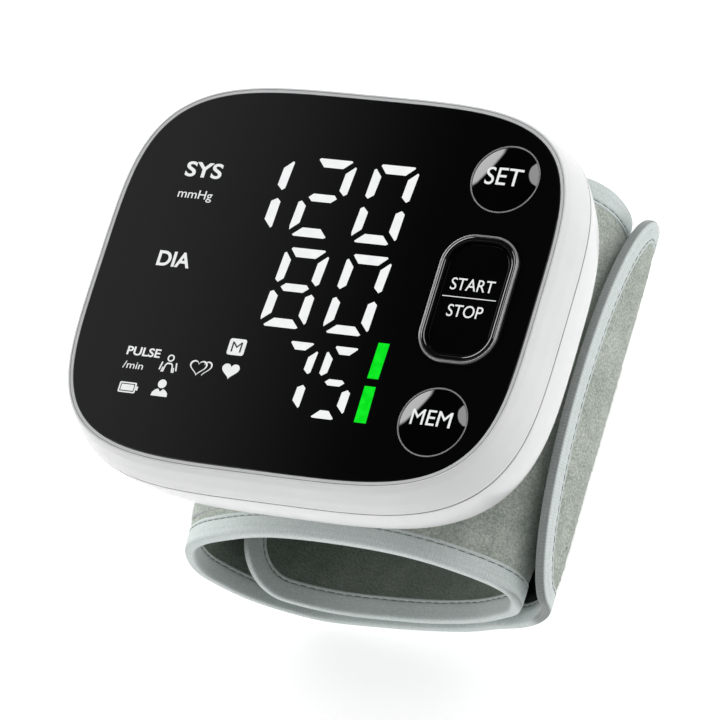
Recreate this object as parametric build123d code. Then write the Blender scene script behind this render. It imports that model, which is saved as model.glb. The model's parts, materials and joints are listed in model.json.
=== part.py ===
from build123d import *
import math
import os

os.makedirs("parts", exist_ok=True)

# ---------------------------------------------------------------------------
# Wrist blood pressure monitor, lying display up on its closed cuff.
# Millimetres. +X is the display's right, +Y is the display's top, +Z is the
# display's normal. The origin is the middle of the object's box, on the
# surface that the cuff rests on.
# ---------------------------------------------------------------------------

# housing
GLASS_A = 40.71          # half width of the display window
GLASS_B = 34.50          # half height of the display window
GLASS_N = 4.08           # exponent of the window's superellipse outline
Z_GLASS = 67.0           # outer face of the display window
Z_WINDOW = 65.6          # inner face of the display window
Z_LEDGE = 65.2           # ledge of the front shell that carries the window
Z_SEAM = 59.25           # joint between the front and rear shells
Z_BACK = 45.5            # flat back of the housing
WALL = 1.8
TRIM_W = 0.85            # width of the trim ring round the window
LEDGE_W = 2.2            # how far the ledge reaches in under the window

# outward offset from the window's outline, against height
FRONT_PROFILE = [(2.50, 59.25), (2.62, 59.47), (2.56, 60.1), (2.36, 61.3),
                 (1.98, 63.2), (1.60, 64.9), (1.20, 66.0), (0.92, 66.7)]
# rear shell: offset of the sides, height, and how square the outline is there
REAR_PROFILE = [(2.50, 59.25, 4.08), (2.62, 59.03, 4.08), (2.58, 58.4, 4.06), (2.50, 57.4, 4.02), (2.33, 55.7, 3.94),
                (2.10, 54.0, 3.86), (1.78, 52.2, 3.77), (1.33, 50.2, 3.67), (0.66, 48.6, 3.61), (-0.45, 47.2, 3.58),
                (-2.3, 46.15, 3.56), (-5.2, 45.5, 3.56)]
REAR_INNER = [(0.8, 59.25), (0.6, 58.2), (0.1, 56.5), (-0.26, 55.0), (-0.7, 53.2),
              (-1.35, 51.4), (-2.7, 49.7), (-4.7, 48.3), (-7.2, 47.45), (-10.0, 47.1)]

# keys
KEY_X = 28.87
KEY_Y = 22.25
KEY_R = 5.90             # round key caps
RING_R = 6.20            # outside of the ring round each round key
KEY_CLEAR = 0.08         # running clearance of every key in its frame
KEY_TRAVEL = 0.4
PILL_W, PILL_H, PILL_R = 14.1, 23.2, 5.5       # start/stop frame, outside
PILL_IW, PILL_IH, PILL_IR = 11.5, 20.6, 4.3    # start/stop frame, inside

# board and display
Z_PCB0, Z_PCB1 = 58.6, 59.8
LED_X0, LED_X1, LED_Y0, LED_Y1 = -32.0, 18.5, -25.0, 25.0
Z_LED1 = 64.9

# cells (AAA)
CELL_R = 5.2
CELL_L = 44.5
CELL_X = (-31.2, -20.7)
CELL_Z = 52.95

# housing screws
SCREW_X, SCREW_Y = 27.0, 27.6

# cuff
CUFF_HALF = 36.0         # half width of the cuff over its binding
STRIP_HALF = 35.5        # half width of the fabric inside the binding
BIND_T = 0.35            # thickness of the binding on each face
BIND_W = 3.6             # width of the binding on each face
FLAP_T = 2.2
TAIL_T = 2.1

# section of the front of the cuff, from the right fold over the top to the
# left bend: matched points of its inner and outer faces (x, z), at the lower
# (-Y) edge and at the upper (+Y) edge, where the right shoulder stands higher
FRONT_IN = [(29.5, 25.4), (28.9, 27.5), (26.9, 29.9), (23.1, 33.3), (18.4, 36.0), (12.0, 38.3),
            (5.0, 39.6), (-2.4, 40.0), (-8.0, 39.2), (-13.6, 37.4), (-19.0, 35.0), (-23.2, 32.6),
            (-27.2, 29.3), (-29.7, 26.3), (-31.1, 24.0)]
FRONT_OUT = [(33.7, 25.6), (33.3, 28.6), (31.0, 32.2), (27.0, 36.0), (21.6, 39.5), (14.6, 42.3),
             (6.2, 43.8), (-2.4, 44.1), (-9.4, 43.1), (-15.8, 40.9), (-21.8, 37.9), (-26.4, 34.7),
             (-30.2, 30.8), (-32.2, 27.3), (-33.3, 24.3)]
FRONT_IN_UP = [(30.3, 25.6), (31.0, 29.2), (30.9, 32.6), (29.0, 36.3), (25.0, 38.9), (17.5, 40.2),
               (7.0, 40.6), (-2.4, 40.4), (-8.0, 39.4), (-13.6, 37.5), (-19.0, 35.0), (-23.2, 32.6),
               (-27.2, 29.3), (-29.7, 26.3), (-31.1, 24.0)]
FRONT_OUT_UP = [(34.4, 25.8), (35.3, 30.2), (35.2, 34.8), (33.3, 39.4), (28.4, 42.9), (19.5, 44.5),
                (8.0, 44.8), (-2.4, 44.5), (-9.4, 43.3), (-15.8, 41.0), (-21.8, 37.9), (-26.4, 34.7),
                (-30.2, 30.8), (-32.2, 27.3), (-33.3, 24.3)]
# outer face of the tail, from the left bend along the bottom to the right,
# then up past the right side of the housing
TAIL_OUT = [(-34.05, 22.2), (-34.55, 19.8), (-34.6, 17.2), (-34.1, 14.4), (-32.6, 11.2), (-29.7, 7.4),
            (-25.6, 3.9), (-21.6, 1.6), (-18.2, 0.45), (-15.0, 0.22), (-9.0, 0.22), (-2.0, 0.22),
            (3.0, 0.22), (6.5, 0.6), (11.5, 2.3), (17.0, 4.9), (22.5, 7.9), (27.3, 11.1), (31.3, 14.6),
            (34.6, 18.6), (36.6, 21.8), (37.75, 24.6), (38.0, 27.4), (38.05, 30.5), (38.05, 34.0),
            (38.0, 38.0)]
# outer face of the inner flap, from the right fold along the bottom to its free end
FLAP_OUT = [(33.1, 23.0), (31.9, 20.9), (29.6, 17.9), (26.6, 15.3), (22.8, 12.6), (18.8, 10.4),
            (12.7, 8.1), (6.8, 6.6), (0.9, 5.7), (-4.8, 5.1), (-10.5, 5.1), (-15, 5.9), (-19, 7.4),
            (-22.6, 9.6), (-25.6, 12.2), (-27.8, 14.8)]
TAIL_END_Z0 = 24.5       # height where the tail's rounded end begins
TAIL_END_Z1 = 37.2       # tip of the tail
FLAP_END_R = 11.0        # corners of the flap's free end


# ---------------------------------------------------------------------------
# helpers
# ---------------------------------------------------------------------------
def outline(off, n=56, square=None):
    """points of the window's outline, moved outwards by off; square changes how square its corners are"""
    e = square or GLASS_N
    pts = []
    for k in range(n):
        t = 2 * math.pi * (k + 0.5) / n
        # spread the points so that corners and sides are both well covered
        c, s = math.cos(t), math.sin(t)
        r = (abs(c / GLASS_A) ** e + abs(s / GLASS_B) ** e) ** (-1 / e)
        x, y = r * c, r * s
        gx = math.copysign(abs(x / GLASS_A) ** (e - 1) / GLASS_A, x)
        gy = math.copysign(abs(y / GLASS_B) ** (e - 1) / GLASS_B, y)
        g = math.hypot(gx, gy)
        pts.append((x + off * gx / g, y + off * gy / g))
    return pts


def wire_at(off, z, square=None):
    return Wire([Edge.make_spline([Vector(x, y, z) for x, y in outline(off, square=square)], periodic=True)])


def prism(off, z0, z1):
    return Solid.extrude(Face(wire_at(off, z0)), Vector(0, 0, z1 - z0))


def lofted(profile):
    return Solid.make_loft([wire_at(*p) for p in sorted(profile, key=lambda p: p[1])])


def box(x0, x1, y0, y1, z0, z1):
    return Pos((x0 + x1) / 2, (y0 + y1) / 2, (z0 + z1) / 2) * Box(x1 - x0, y1 - y0, z1 - z0)


def cyl(x, y, z0, z1, r):
    return Pos(x, y, (z0 + z1) / 2) * Cylinder(r, z1 - z0)


def ycyl(x, z, y0, y1, r):
    return Pos(x, (y0 + y1) / 2, z) * Rot(90, 0, 0) * Cylinder(r, y1 - y0)


def pill(x, y, z0, z1, w, h, r):
    return Pos(x, y, z0) * extrude(RectangleRounded(w, h, r), z1 - z0)


def one(shape):
    """the shape as one solid, or as a compound of its solids"""
    s = shape.solids() if hasattr(shape, "solids") else [shape]
    return s[0] if len(s) == 1 else Compound(children=list(s))


def normals(pts):
    out = []
    for i, p in enumerate(pts):
        a = pts[max(i - 1, 0)]
        b = pts[min(i + 1, len(pts) - 1)]
        dx, dz = b[0] - a[0], b[1] - a[1]
        d = math.hypot(dx, dz)
        out.append((-dz / d, dx / d))
    return out


def strip(side_a, side_b, y0, y1):
    """solid between two open curves of the XZ plane, from y0 to y1"""
    a = Edge.make_spline([Vector(x, y0, z) for x, z in side_a])
    b = Edge.make_spline([Vector(x, y0, z) for x, z in side_b])
    e0 = Edge.make_line(a @ 0, b @ 0)
    e1 = Edge.make_line(a @ 1, b @ 1)
    return Solid.extrude(Face(Wire([a, e1, b, e0])), Vector(0, y1 - y0, 0))


def between(a, b, u):
    return [(i[0] + (o[0] - i[0]) * u, i[1] + (o[1] - i[1]) * u) for i, o in zip(a, b)]


def front_at(y):
    """inner and outer faces of the front of the cuff at y"""
    w = (y + CUFF_HALF) / (2 * CUFF_HALF)
    return between(FRONT_IN, FRONT_IN_UP, w), between(FRONT_OUT, FRONT_OUT_UP, w)


def section(side_a, side_b, y):
    a = Edge.make_spline([Vector(x, y, z) for x, z in side_a])
    b = Edge.make_spline([Vector(x, y, z) for x, z in side_b])
    return Wire([a, Edge.make_line(a @ 1, b @ 1), b, Edge.make_line(b @ 0, a @ 0)])


def front_layer(u0, u1, y0, y1, grow=0.0, ends=0):
    """layer of the front of the cuff, between fractions u0 and u1 of its thickness"""
    wires = []
    for y in (y0, y1):
        i, o = front_at(y)
        a, b = between(i, o, u0), between(i, o, u1)
        if grow:
            a, b = flank(a, b, grow)
        if ends:
            a, b = a[ends:-ends], b[ends:-ends]
        wires.append(section(a, b, y))
    return Solid.make_loft(wires, ruled=True)


def moved(pts, d):
    n = normals(pts)
    return [(p[0] + q[0] * d, p[1] + q[1] * d) for p, q in zip(pts, n)]


def flank(side_a, side_b, d):
    """the same two curves, each moved outwards by d"""
    a = moved(side_a, d)
    b = moved(side_b, -d)
    da = math.hypot(a[5][0] - side_b[5][0], a[5][1] - side_b[5][1])
    db = math.hypot(side_a[5][0] - side_b[5][0], side_a[5][1] - side_b[5][1])
    if da < db:
        a = moved(side_a, -d)
        b = moved(side_b, d)
    return a, b


NODES = {}


def keep(name, shape):
    NODES[name] = one(shape)


# ---------------------------------------------------------------------------
# seven-segment figures: six-sided bars, leaning a little to the right
# ---------------------------------------------------------------------------
LEAN = math.tan(math.radians(4.0))


def bar(kind, x0, x1, y0, y1, k=1.0):
    """one leaning bar of a seven-bar figure as corner points in the display's plane"""
    yc = (y0 + y1) / 2
    return {
        "a": [(x0, y1 - 0.3 * k), (x0 + 0.2 * k, y1), (x1 - 0.2 * k, y1), (x1, y1 - 0.25 * k),
              (x1 - 1.5 * k, y0), (x0 + 1.25 * k, y0)],
        "d": [(x0, y0 + 0.25 * k), (x0 + 0.3 * k, y0), (x1 - 0.4 * k, y0), (x1, y0 + 0.25 * k),
              (x1 - 1.4 * k, y1), (x0 + 1.6 * k, y1)],
        "g": [(x0, yc), (x0 + 0.8 * k, y1), (x1 - 0.6 * k, y1), (x1, yc + 0.1 * k),
              (x1 - 0.95 * k, y0), (x0 + 0.75 * k, y0)],
        "b": [(x0, y0 + 0.9 * k), (x0 + 1.05 * k, y0), (x1 - 0.35 * k, y0 + 0.4 * k), (x1, y1 - 0.25 * k),
              (x1 - 0.25 * k, y1), (x0 + 0.2 * k, y1 - 1.4 * k)],
        "c": [(x0, y0 + 1.5 * k), (x1 - 0.4 * k, y0), (x1 - 0.15 * k, y0 + 0.3 * k), (x1, y1 - 0.6 * k),
              (x1 - 0.7 * k, y1), (x0 + 0.2 * k, y1 - 0.6 * k)],
        "f": [(x0, y0 + 0.5 * k), (x0 + 0.6 * k, y0), (x1 - 0.3 * k, y0 + 0.75 * k), (x1, y1 - 1.4 * k),
              (x0 + 0.6 * k, y1), (x0 + 0.25 * k, y1 - 0.2 * k)],
        "e": [(x0, y0 + 0.7 * k), (x0 + 0.15 * k, y0), (x1 - 0.2 * k, y0 + 1.4 * k), (x1, y1 - 0.9 * k),
              (x0 + 0.85 * k, y1), (x0 + 0.3 * k, y1 - 0.3 * k)],
    }[kind]


# bars of the five large figures, then of the two smaller ones: kind, x0, x1, y0, y1
LARGE = [
    ("b", -12.31, -10.38, 16.25, 21.75), ("c", -12.75, -10.81, 9.12, 14.69),
    ("a", -6.00, 0.38, 21.19, 22.81), ("b", -0.56, 1.38, 16.25, 21.75), ("g", -5.88, -0.56, 14.75, 16.19),
    ("e", -7.75, -5.88, 9.19, 14.69), ("d", -6.81, -0.44, 8.12, 9.81),
    ("a", 5.75, 12.19, 21.12, 22.81), ("f", 4.44, 6.31, 16.25, 21.88), ("b", 11.19, 13.12, 16.19, 21.75),
    ("e", 4.00, 5.88, 9.19, 14.69), ("c", 10.81, 12.69, 9.06, 14.62), ("d", 4.94, 11.31, 8.12, 9.81),
    ("a", -6.00, 0.44, 4.31, 6.00), ("f", -7.31, -5.50, -0.56, 5.06), ("b", -0.56, 1.38, -0.62, 4.94),
    ("g", -5.88, -0.56, -2.06, -0.62), ("e", -7.81, -5.88, -7.62, -2.12), ("c", -0.94, 0.94, -7.75, -2.19),
    ("d", -6.88, -0.44, -8.69, -7.06),
    ("a", 5.75, 12.19, 4.31, 6.00), ("f", 4.44, 6.31, -0.62, 5.00), ("b", 11.19, 13.12, -0.62, 4.94),
    ("e", 4.00, 5.88, -7.62, -2.12), ("c", 10.81, 12.69, -7.75, -2.19), ("d", 4.94, 11.31, -8.69, -7.06),
]
SMALL = [
    ("a", -0.75, 3.50, -12.31, -10.85), ("b", 3.02, 4.69, -16.44, -12.22), ("c", 2.69, 4.38, -22.62, -18.44),
    ("a", 7.56, 11.75, -12.31, -10.85), ("f", 6.04, 7.69, -16.44, -12.06), ("g", 7.50, 11.12, -18.00, -16.85),
    ("c", 11.00, 12.69, -22.69, -18.44), ("d", 6.90, 11.00, -24.00, -22.50),
]
BARS = [bar(*b) for b in LARGE] + [bar(*b, k=0.85) for b in SMALL]
GREEN = [[(15.05, -9.4), (17.1, -9.4), (16.95, -15.9), (14.9, -15.9)],
         [(14.9, -17.3), (16.95, -17.3), (17.1, -23.9), (14.9, -23.9)]]


def bars(polys, z0, z1):
    out = []
    for p in polys:
        f = Face(Wire.make_polygon([Vector(x, y, z0) for x, y in p], close=True))
        s = Solid.extrude(f, Vector(0, 0, z1 - z0))
        out.append(s)
    return out


# ---------------------------------------------------------------------------
# housing
# ---------------------------------------------------------------------------
window = prism(0, Z_WINDOW, Z_GLASS - 0.12).fuse(
    Solid.make_loft([wire_at(0, Z_GLASS - 0.12), wire_at(-0.12, Z_GLASS)], ruled=True))
for sy in (1, -1):
    window = window - cyl(KEY_X, sy * KEY_Y, Z_WINDOW - 1, Z_GLASS + 1, RING_R)
window = window - pill(KEY_X, 0, Z_WINDOW - 1, Z_GLASS + 1, PILL_W, PILL_H, PILL_R)
DIG_Z = Z_GLASS - 0.30
for b in bars(BARS + GREEN, DIG_Z, Z_GLASS + 0.5):
    window = window - b
keep("display_window", window)
keep("digit_segments", Compound(children=bars(BARS, DIG_Z, Z_GLASS)))
keep("pulse_bars", Compound(children=bars(GREEN, DIG_Z, Z_GLASS)))

keep("window_tape", prism(-0.2, Z_LEDGE, Z_WINDOW) - prism(-LEDGE_W + 0.2, Z_LEDGE - 1, Z_WINDOW + 1))
keep("trim_ring", prism(TRIM_W, Z_LEDGE, Z_GLASS - 0.08) - prism(0.04, Z_LEDGE - 1, Z_GLASS + 1))

front_outer = lofted(FRONT_PROFILE)
front = front_outer - prism(TRIM_W + 0.03, Z_LEDGE, Z_GLASS + 1)
front = front - prism(-LEDGE_W, Z_SEAM - 1, Z_GLASS + 1)
for sy in (1, -1):
    front = front - cyl(KEY_X, sy * KEY_Y, 62, Z_LEDGE + 0.05, KEY_R + 0.9)
front = front - prism(0.35, Z_SEAM - 1, 64.0)
bosses = None
for sx in (1, -1):
    for sy in (1, -1):
        b = cyl(sx * SCREW_X, sy * SCREW_Y, Z_PCB1, 64.2, 2.4)
        b = b + (box(sx * SCREW_X - 1.2, sx * SCREW_X + 1.2, min(sy * SCREW_Y, sy * 32.5), max(sy * SCREW_Y, sy * 32.5),
                     Z_PCB1, 64.2) & prism(0.8, Z_PCB1, 64.2))
        b = b - cyl(sx * SCREW_X, sy * SCREW_Y, Z_PCB1 - 1, 63.0, 1.0)
        front = front + b
keep("front_shell", front)

rear_outer = lofted(REAR_PROFILE)
rear_cavity = lofted(REAR_INNER)
rear = rear_outer - rear_cavity
ribs = box(-39, -14.8, 23.9, 25.1, 46.5, 57.6) + box(-39, -14.8, -25.1, -23.9, 46.5, 57.6) \
    + box(-15.4, -14.4, -25.1, 25.1, 46.5, 57.6) \
    + box(-10.0, 2.0, 2.0, 3.2, 46.5, 49.5) + box(-10.0, 2.0, -28.6, -27.4, 46.5, 50.5)
rear = rear + (ribs & rear_outer)
for sx in (1, -1):
    for sy in (1, -1):
        rear = rear + (cyl(sx * SCREW_X, sy * SCREW_Y, 45.0, Z_PCB0, 2.9) & (rear_outer + prism(0, 59, 61)))
        rear = rear - cyl(sx * SCREW_X, sy * SCREW_Y, 40, 50.6, 2.1)
        rear = rear - cyl(sx * SCREW_X, sy * SCREW_Y, 50, 60, 1.15)
DOOR_Y, DOOR_Z0, DOOR_Z1 = 23.6, 48.9, 58.2
rear = rear - box(-50, -36.0, -DOOR_Y, DOOR_Y, DOOR_Z0, DOOR_Z1)
PORT = (-4.0, 12.0)
rear = rear - cyl(PORT[0], PORT[1], 44, 48, 2.4)
for sx in (1, -1):
    for sy in (1, -1):
        rear = rear - cyl(sx * 11.5, sy * 18, 44, 48, 1.0)
keep("rear_shell", rear)

# battery door: the piece of the rear shell's wall that closes the bay
door = (rear_outer - lofted(REAR_INNER)) \
    & box(-50, -36.1, -DOOR_Y + 0.12, DOOR_Y - 0.12, DOOR_Z0 + 0.12, DOOR_Z1 - 0.12)
door = Compound(children=[s for s in door.solids() if s.volume > 20])
keep("battery_door", door)

screws = []
for sx in (1, -1):
    for sy in (1, -1):
        s = cyl(sx * SCREW_X, sy * SCREW_Y, 49.0, 50.6, 1.9) + cyl(sx * SCREW_X, sy * SCREW_Y, 50.6, 63.0, 1.0)
        s = s - box(sx * SCREW_X - 1.3, sx * SCREW_X + 1.3, sy * SCREW_Y - 0.25, sy * SCREW_Y + 0.25, 48.5, 49.7)
        s = s - box(sx * SCREW_X - 0.25, sx * SCREW_X + 0.25, sy * SCREW_Y - 1.3, sy * SCREW_Y + 1.3, 48.5, 49.7)
        screws.append(one(s))
keep("housing_screws", Compound(children=screws))

# ---------------------------------------------------------------------------
# keys
# ---------------------------------------------------------------------------
def round_key(y):
    r = KEY_R
    h = 0.7
    R = (r * r + h * h) / (2 * h)
    body = cyl(KEY_X, y, 65.4, Z_GLASS + 1.0, r)
    body = body & (Pos(KEY_X, y, Z_GLASS + h - R - 0.05) * Sphere(R))
    body = body + cyl(KEY_X, y, 64.7, 65.5, r + 0.6) + cyl(KEY_X, y, 62.8, 64.8, 2.2)
    return body


keep("set_button", round_key(KEY_Y))
keep("mem_button", round_key(-KEY_Y))
rings = []
for sy in (1, -1):
    rings.append(one(cyl(KEY_X, sy * KEY_Y, Z_WINDOW, Z_GLASS + 0.05, RING_R)
                     - cyl(KEY_X, sy * KEY_Y, Z_WINDOW - 1, Z_GLASS + 1, KEY_R + KEY_CLEAR)))
keep("button_rings", Compound(children=rings))

bez = pill(KEY_X, 0, Z_WINDOW, Z_GLASS + 0.55, PILL_W, PILL_H, PILL_R)
bez = chamfer(bez.edges().group_by(Axis.Z)[-1], 0.35)
bez = bez - pill(KEY_X, 0, Z_WINDOW - 1, Z_GLASS + 2, PILL_IW, PILL_IH, PILL_IR)
keep("start_bezel", bez)
c = 2 * KEY_CLEAR
st = pill(KEY_X, 0, 65.4, Z_GLASS + 0.1, PILL_IW - c, PILL_IH - c, PILL_IR - KEY_CLEAR)
st = fillet(st.edges().group_by(Axis.Z)[-1], 0.4)
st = st + pill(KEY_X, 0, 64.7, 65.5, PILL_IW + 0.8, PILL_IH + 0.8, PILL_IR + 0.4) + cyl(KEY_X, 0, 62.8, 64.8, 2.2)
keep("start_stop_button", st)

# ---------------------------------------------------------------------------
# electronics
# ---------------------------------------------------------------------------
pcb = prism(-1.0, Z_PCB0, Z_PCB1)
for sx in (1, -1):
    for sy in (1, -1):
        pcb = pcb - cyl(sx * SCREW_X, sy * SCREW_Y, 50, 62, 1.3)
keep("main_board", pcb)

led = box(LED_X0, LED_X1, LED_Y0, LED_Y1, Z_PCB1, Z_LED1)
for b in bars(BARS + GREEN, Z_PCB1 + 1.2, Z_LED1 + 1):
    led = led - b
keep("led_module", led)
keep("display_diffuser", box(LED_X0 + 5, LED_X1, LED_Y0 + 1.5, LED_Y1 - 1.5, Z_LED1, Z_WINDOW - 0.1))

sw = []
for y in (KEY_Y, 0, -KEY_Y):
    s = box(KEY_X - 2.25, KEY_X + 2.25, y - 2.25, y + 2.25, Z_PCB1, 61.5) + cyl(KEY_X, y, 61.4, 62.3, 1.6)
    sw.append(one(s))
keep("tact_switches", Compound(children=sw))

parts_pcb = [box(8, 18, 4, 14, 57.3, Z_PCB0), box(20, 25, 12, 18, 57.5, Z_PCB0), box(30, 33, -8, -3, 57.8, Z_PCB0),
             box(8, 12, -24, -20, 57.4, Z_PCB0), box(20, 23, -24, -18, 57.6, Z_PCB0),
             one(cyl(33.0, 8.0, 53.5, Z_PCB0, 2.5))]
keep("board_components", Compound(children=[one(p) for p in parts_pcb]))

keep("pressure_sensor", box(20.5, 28.5, -4, 4, 55.0, Z_PCB0) + cyl(24.5, 0, 52.2, 55.1, 1.3))

pump = ycyl(-4, 52.9, -27.2, -9, 5.2) + ycyl(-4, 52.9, -9, 0.5, 5.4) + ycyl(-4, 52.9, 0.4, 6.0, 1.2)
keep("air_pump", pump)
valve = box(14, 23, -17, -8, 48.2, 56.2) + ycyl(18.5, 52.0, -8.1, -4.0, 1.2)
keep("air_valve", valve)

man = ycyl(-4, 52.9, 2.6, 9.0, 2.3) + box(-8, 0, 8.0, 16.0, 49.4, 56.0) + cyl(-4, 12, 48.2, 50.0, 3.4)
man = man + Pos(9, 12, 52.0) * Rot(0, 90, 0) * Cylinder(2.2, 19) + ycyl(18.5, 52.0, -6.6, 12.0, 2.2) \
    + Pos(18.5, 12, 52.0) * Sphere(2.2)
man = man + Pos(21.0, 0, 50.6) * Rot(0, 90, 0) * Cylinder(2.0, 7.0) + cyl(24.5, 0, 50.6, 54.6, 2.0) + Pos(24.5, 0, 50.6) * Sphere(2.0)
man = man - ycyl(-4, 52.9, 2, 6.0, 1.2) - ycyl(18.5, 52.0, -8, -4.0, 1.2) - cyl(24.5, 0, 52.2, 56, 1.3)
man = man - cyl(-4, 12, 47, 50.5, 2.4)
keep("air_manifold", man)

port = cyl(PORT[0], PORT[1], 41.9, 50.4, 2.4) - cyl(PORT[0], PORT[1], 41, 51, 1.1)
keep("air_port", port)

keep("battery_cells", Compound(children=[
    one(ycyl(x, CELL_Z, -CELL_L / 2 + (0 if k else 1.0), CELL_L / 2 - (1.0 if k else 0), CELL_R)
        + ycyl(x, CELL_Z, (CELL_L / 2 - 1.2) if k else (-CELL_L / 2), (CELL_L / 2) if k else (-CELL_L / 2 + 1.2), 1.9))
    for k, x in enumerate(CELL_X)]))

contacts = [one(box(-35.6, -16.9, 23.3, 23.55, 50.0, 56.4)),
            one(box(-35.6, -27.6, -23.55, -23.3, 50.0, 56.4)),
            one(box(-24.9, -16.9, -23.55, -23.3, 50.0, 56.4))]


def coil(x, y0, y1, r0, r1, wire):
    """conical contact spring along Y, as a sweep of its wire"""
    turns = 2.2
    n = 26
    pts = []
    for k in range(n + 1):
        f = k / n
        a = 2 * math.pi * turns * f
        r = r0 + (r1 - r0) * f
        pts.append(Vector(x + r * math.cos(a), y0 + (y1 - y0) * f, CELL_Z + r * math.sin(a)))
    path = Edge.make_spline(pts)
    pl = Plane(origin=path @ 0, z_dir=path % 0)
    return sweep(pl * Circle(wire), path=path)


contacts.append(one(coil(CELL_X[0], 23.1, 22.45, 3.2, 1.8, 0.17)))
contacts.append(one(coil(CELL_X[1], -23.1, -22.45, 3.2, 1.8, 0.17)))
keep("battery_contacts", Compound(children=contacts))

# ---------------------------------------------------------------------------
# cuff: mounting plate
# ---------------------------------------------------------------------------
plate = box(-19.5, 19.5, -25, 25, 38, Z_BACK)
plate = fillet(plate.edges().filter_by(Axis.Z), 5)
# its underside follows the outer face of the cuff
wires = []
for y in (-30.0, 30.0):
    o = front_at(y)[1]
    a = Edge.make_spline([Vector(x, y, z + 0.15) for x, z in o])
    r0, r1 = Vector(60, y, o[0][1] + 0.15), Vector(-60, y, o[-1][1] + 0.15)
    t0, t1 = Vector(60, y, 70), Vector(-60, y, 70)
    wires.append(Wire([a, Edge.make_line(a @ 1, r1), Edge.make_line(r1, t1), Edge.make_line(t1, t0),
                       Edge.make_line(t0, r0), Edge.make_line(r0, a @ 0)]))
plate = plate & Solid.make_loft(wires, ruled=True)
plate = plate - cyl(PORT[0], PORT[1], 40, 50, 2.4)
for sx in (1, -1):
    for sy in (1, -1):
        plate = plate - cyl(sx * 11.5, sy * 18, 43.9, 50, 1.0)
keep("cuff_plate", plate)
keep("plate_screws", Compound(children=[
    one(cyl(sx * 11.5, sy * 18, 47.1, 48.3, 1.9) + cyl(sx * 11.5, sy * 18, 45.05, 47.2, 1.0))
    for sx in (1, -1) for sy in (1, -1)]))

# ---------------------------------------------------------------------------
# cuff: front part, in layers
# ---------------------------------------------------------------------------
port_hole = cyl(PORT[0], PORT[1], 40, 50, 2.4)
keep("cuff_cover", front_layer(0.78, 1.0, -STRIP_HALF, STRIP_HALF) - port_hole - front_layer(0.62, 0.83, -31.1, 31.1, ends=2))
keep("cuff_lining", front_layer(0.0, 0.25, -STRIP_HALF, STRIP_HALF))
keep("cuff_stiffener", front_layer(0.63, 0.77, -31, 31, ends=2) - port_hole)
keep("air_bladder", front_layer(0.26, 0.62, -31, 31, ends=2) - port_hole)
bind = []
for lo, hi in ((-CUFF_HALF, BIND_W - CUFF_HALF), (CUFF_HALF - BIND_W, CUFF_HALF)):
    b = front_layer(0.0, 1.0, lo, hi, grow=BIND_T) - front_layer(0.0, 1.0, -STRIP_HALF, STRIP_HALF)
    bind.append(one(b))
keep("cuff_front_binding", Compound(children=bind))


# ---------------------------------------------------------------------------
# cuff: tail with its rounded end, binding and hook patch
# ---------------------------------------------------------------------------
def tail_shape(half, tip):
    """outline of the tail seen along X: straight sides, rounded end"""
    n = 2.3
    pts = []
    for k in range(0, 33):
        a = math.pi * k / 32
        c, s = math.cos(a), max(0.0, math.sin(a))
        if k in (0, 32):
            s = 0.0
        pts.append((math.copysign(half * abs(c) ** (2 / n), c), TAIL_END_Z0 + (tip - TAIL_END_Z0) * s ** (2 / n)))
    sp = Edge.make_spline([Vector(0, y, z) for y, z in pts])
    p0, p1 = Vector(0, half, TAIL_END_Z0), Vector(0, -half, TAIL_END_Z0)
    q0, q1 = Vector(0, half, -6), Vector(0, -half, -6)
    w = Wire([sp, Edge.make_line(p1, q1), Edge.make_line(q1, q0), Edge.make_line(q0, p0)])
    return Pos(-45, 0, 0) * Solid.extrude(Face(w), Vector(95, 0, 0))


def inward(pts, d):
    """move by d towards the inside of the cuff, or outwards if d is negative"""
    a, b = moved(pts, 1.0), moved(pts, -1.0)
    k = len(pts) // 2
    near = math.hypot(a[k][0], a[k][1] - 22.0) < math.hypot(b[k][0], b[k][1] - 22.0)
    return moved(pts, d if near else -d)


tail_in = inward(TAIL_OUT, TAIL_T)
tail_full = strip(TAIL_OUT, tail_in, -STRIP_HALF, STRIP_HALF)
tail = tail_full & tail_shape(STRIP_HALF, TAIL_END_Z1 - 0.5)
hook_b = inward(TAIL_OUT, TAIL_T + 0.36)[-9:]
hook = strip(inward(TAIL_OUT, TAIL_T + 0.06)[-9:], hook_b, -31, 31) & tail_shape(CUFF_HALF - BIND_W - 1.0, TAIL_END_Z1 - BIND_W - 1.0)
hook = Compound(children=[s for s in hook.solids() if s.volume > 5])
keep("cuff_tail", tail)
ta, tb = inward(TAIL_OUT, -BIND_T), inward(TAIL_OUT, TAIL_T + BIND_T)
tb_full = strip(ta, tb, -CUFF_HALF, CUFF_HALF) & tail_shape(CUFF_HALF, TAIL_END_Z1) & box(-60, 60, -60, 60, 0, 80)
tb_full = tb_full - tail_full.intersect(tail_shape(STRIP_HALF, TAIL_END_Z1 - 0.5)) \
    - tail_shape(CUFF_HALF - BIND_W, TAIL_END_Z1 - BIND_W)
keep("cuff_tail_binding", Compound(children=[s for s in tb_full.solids() if s.volume > 5]))
keep("hook_patch", hook)


# ---------------------------------------------------------------------------
# cuff: inner flap with its rounded free end
# ---------------------------------------------------------------------------
def flap_shape(half, xe):
    """outline of the flap seen from above"""
    r = FLAP_END_R - (CUFF_HALF - half)
    w = 60 - xe
    f = Pos(xe + w / 2, 0, 0) * RectangleRounded(w, 2 * half, r)
    return extrude(f, 60)


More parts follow.
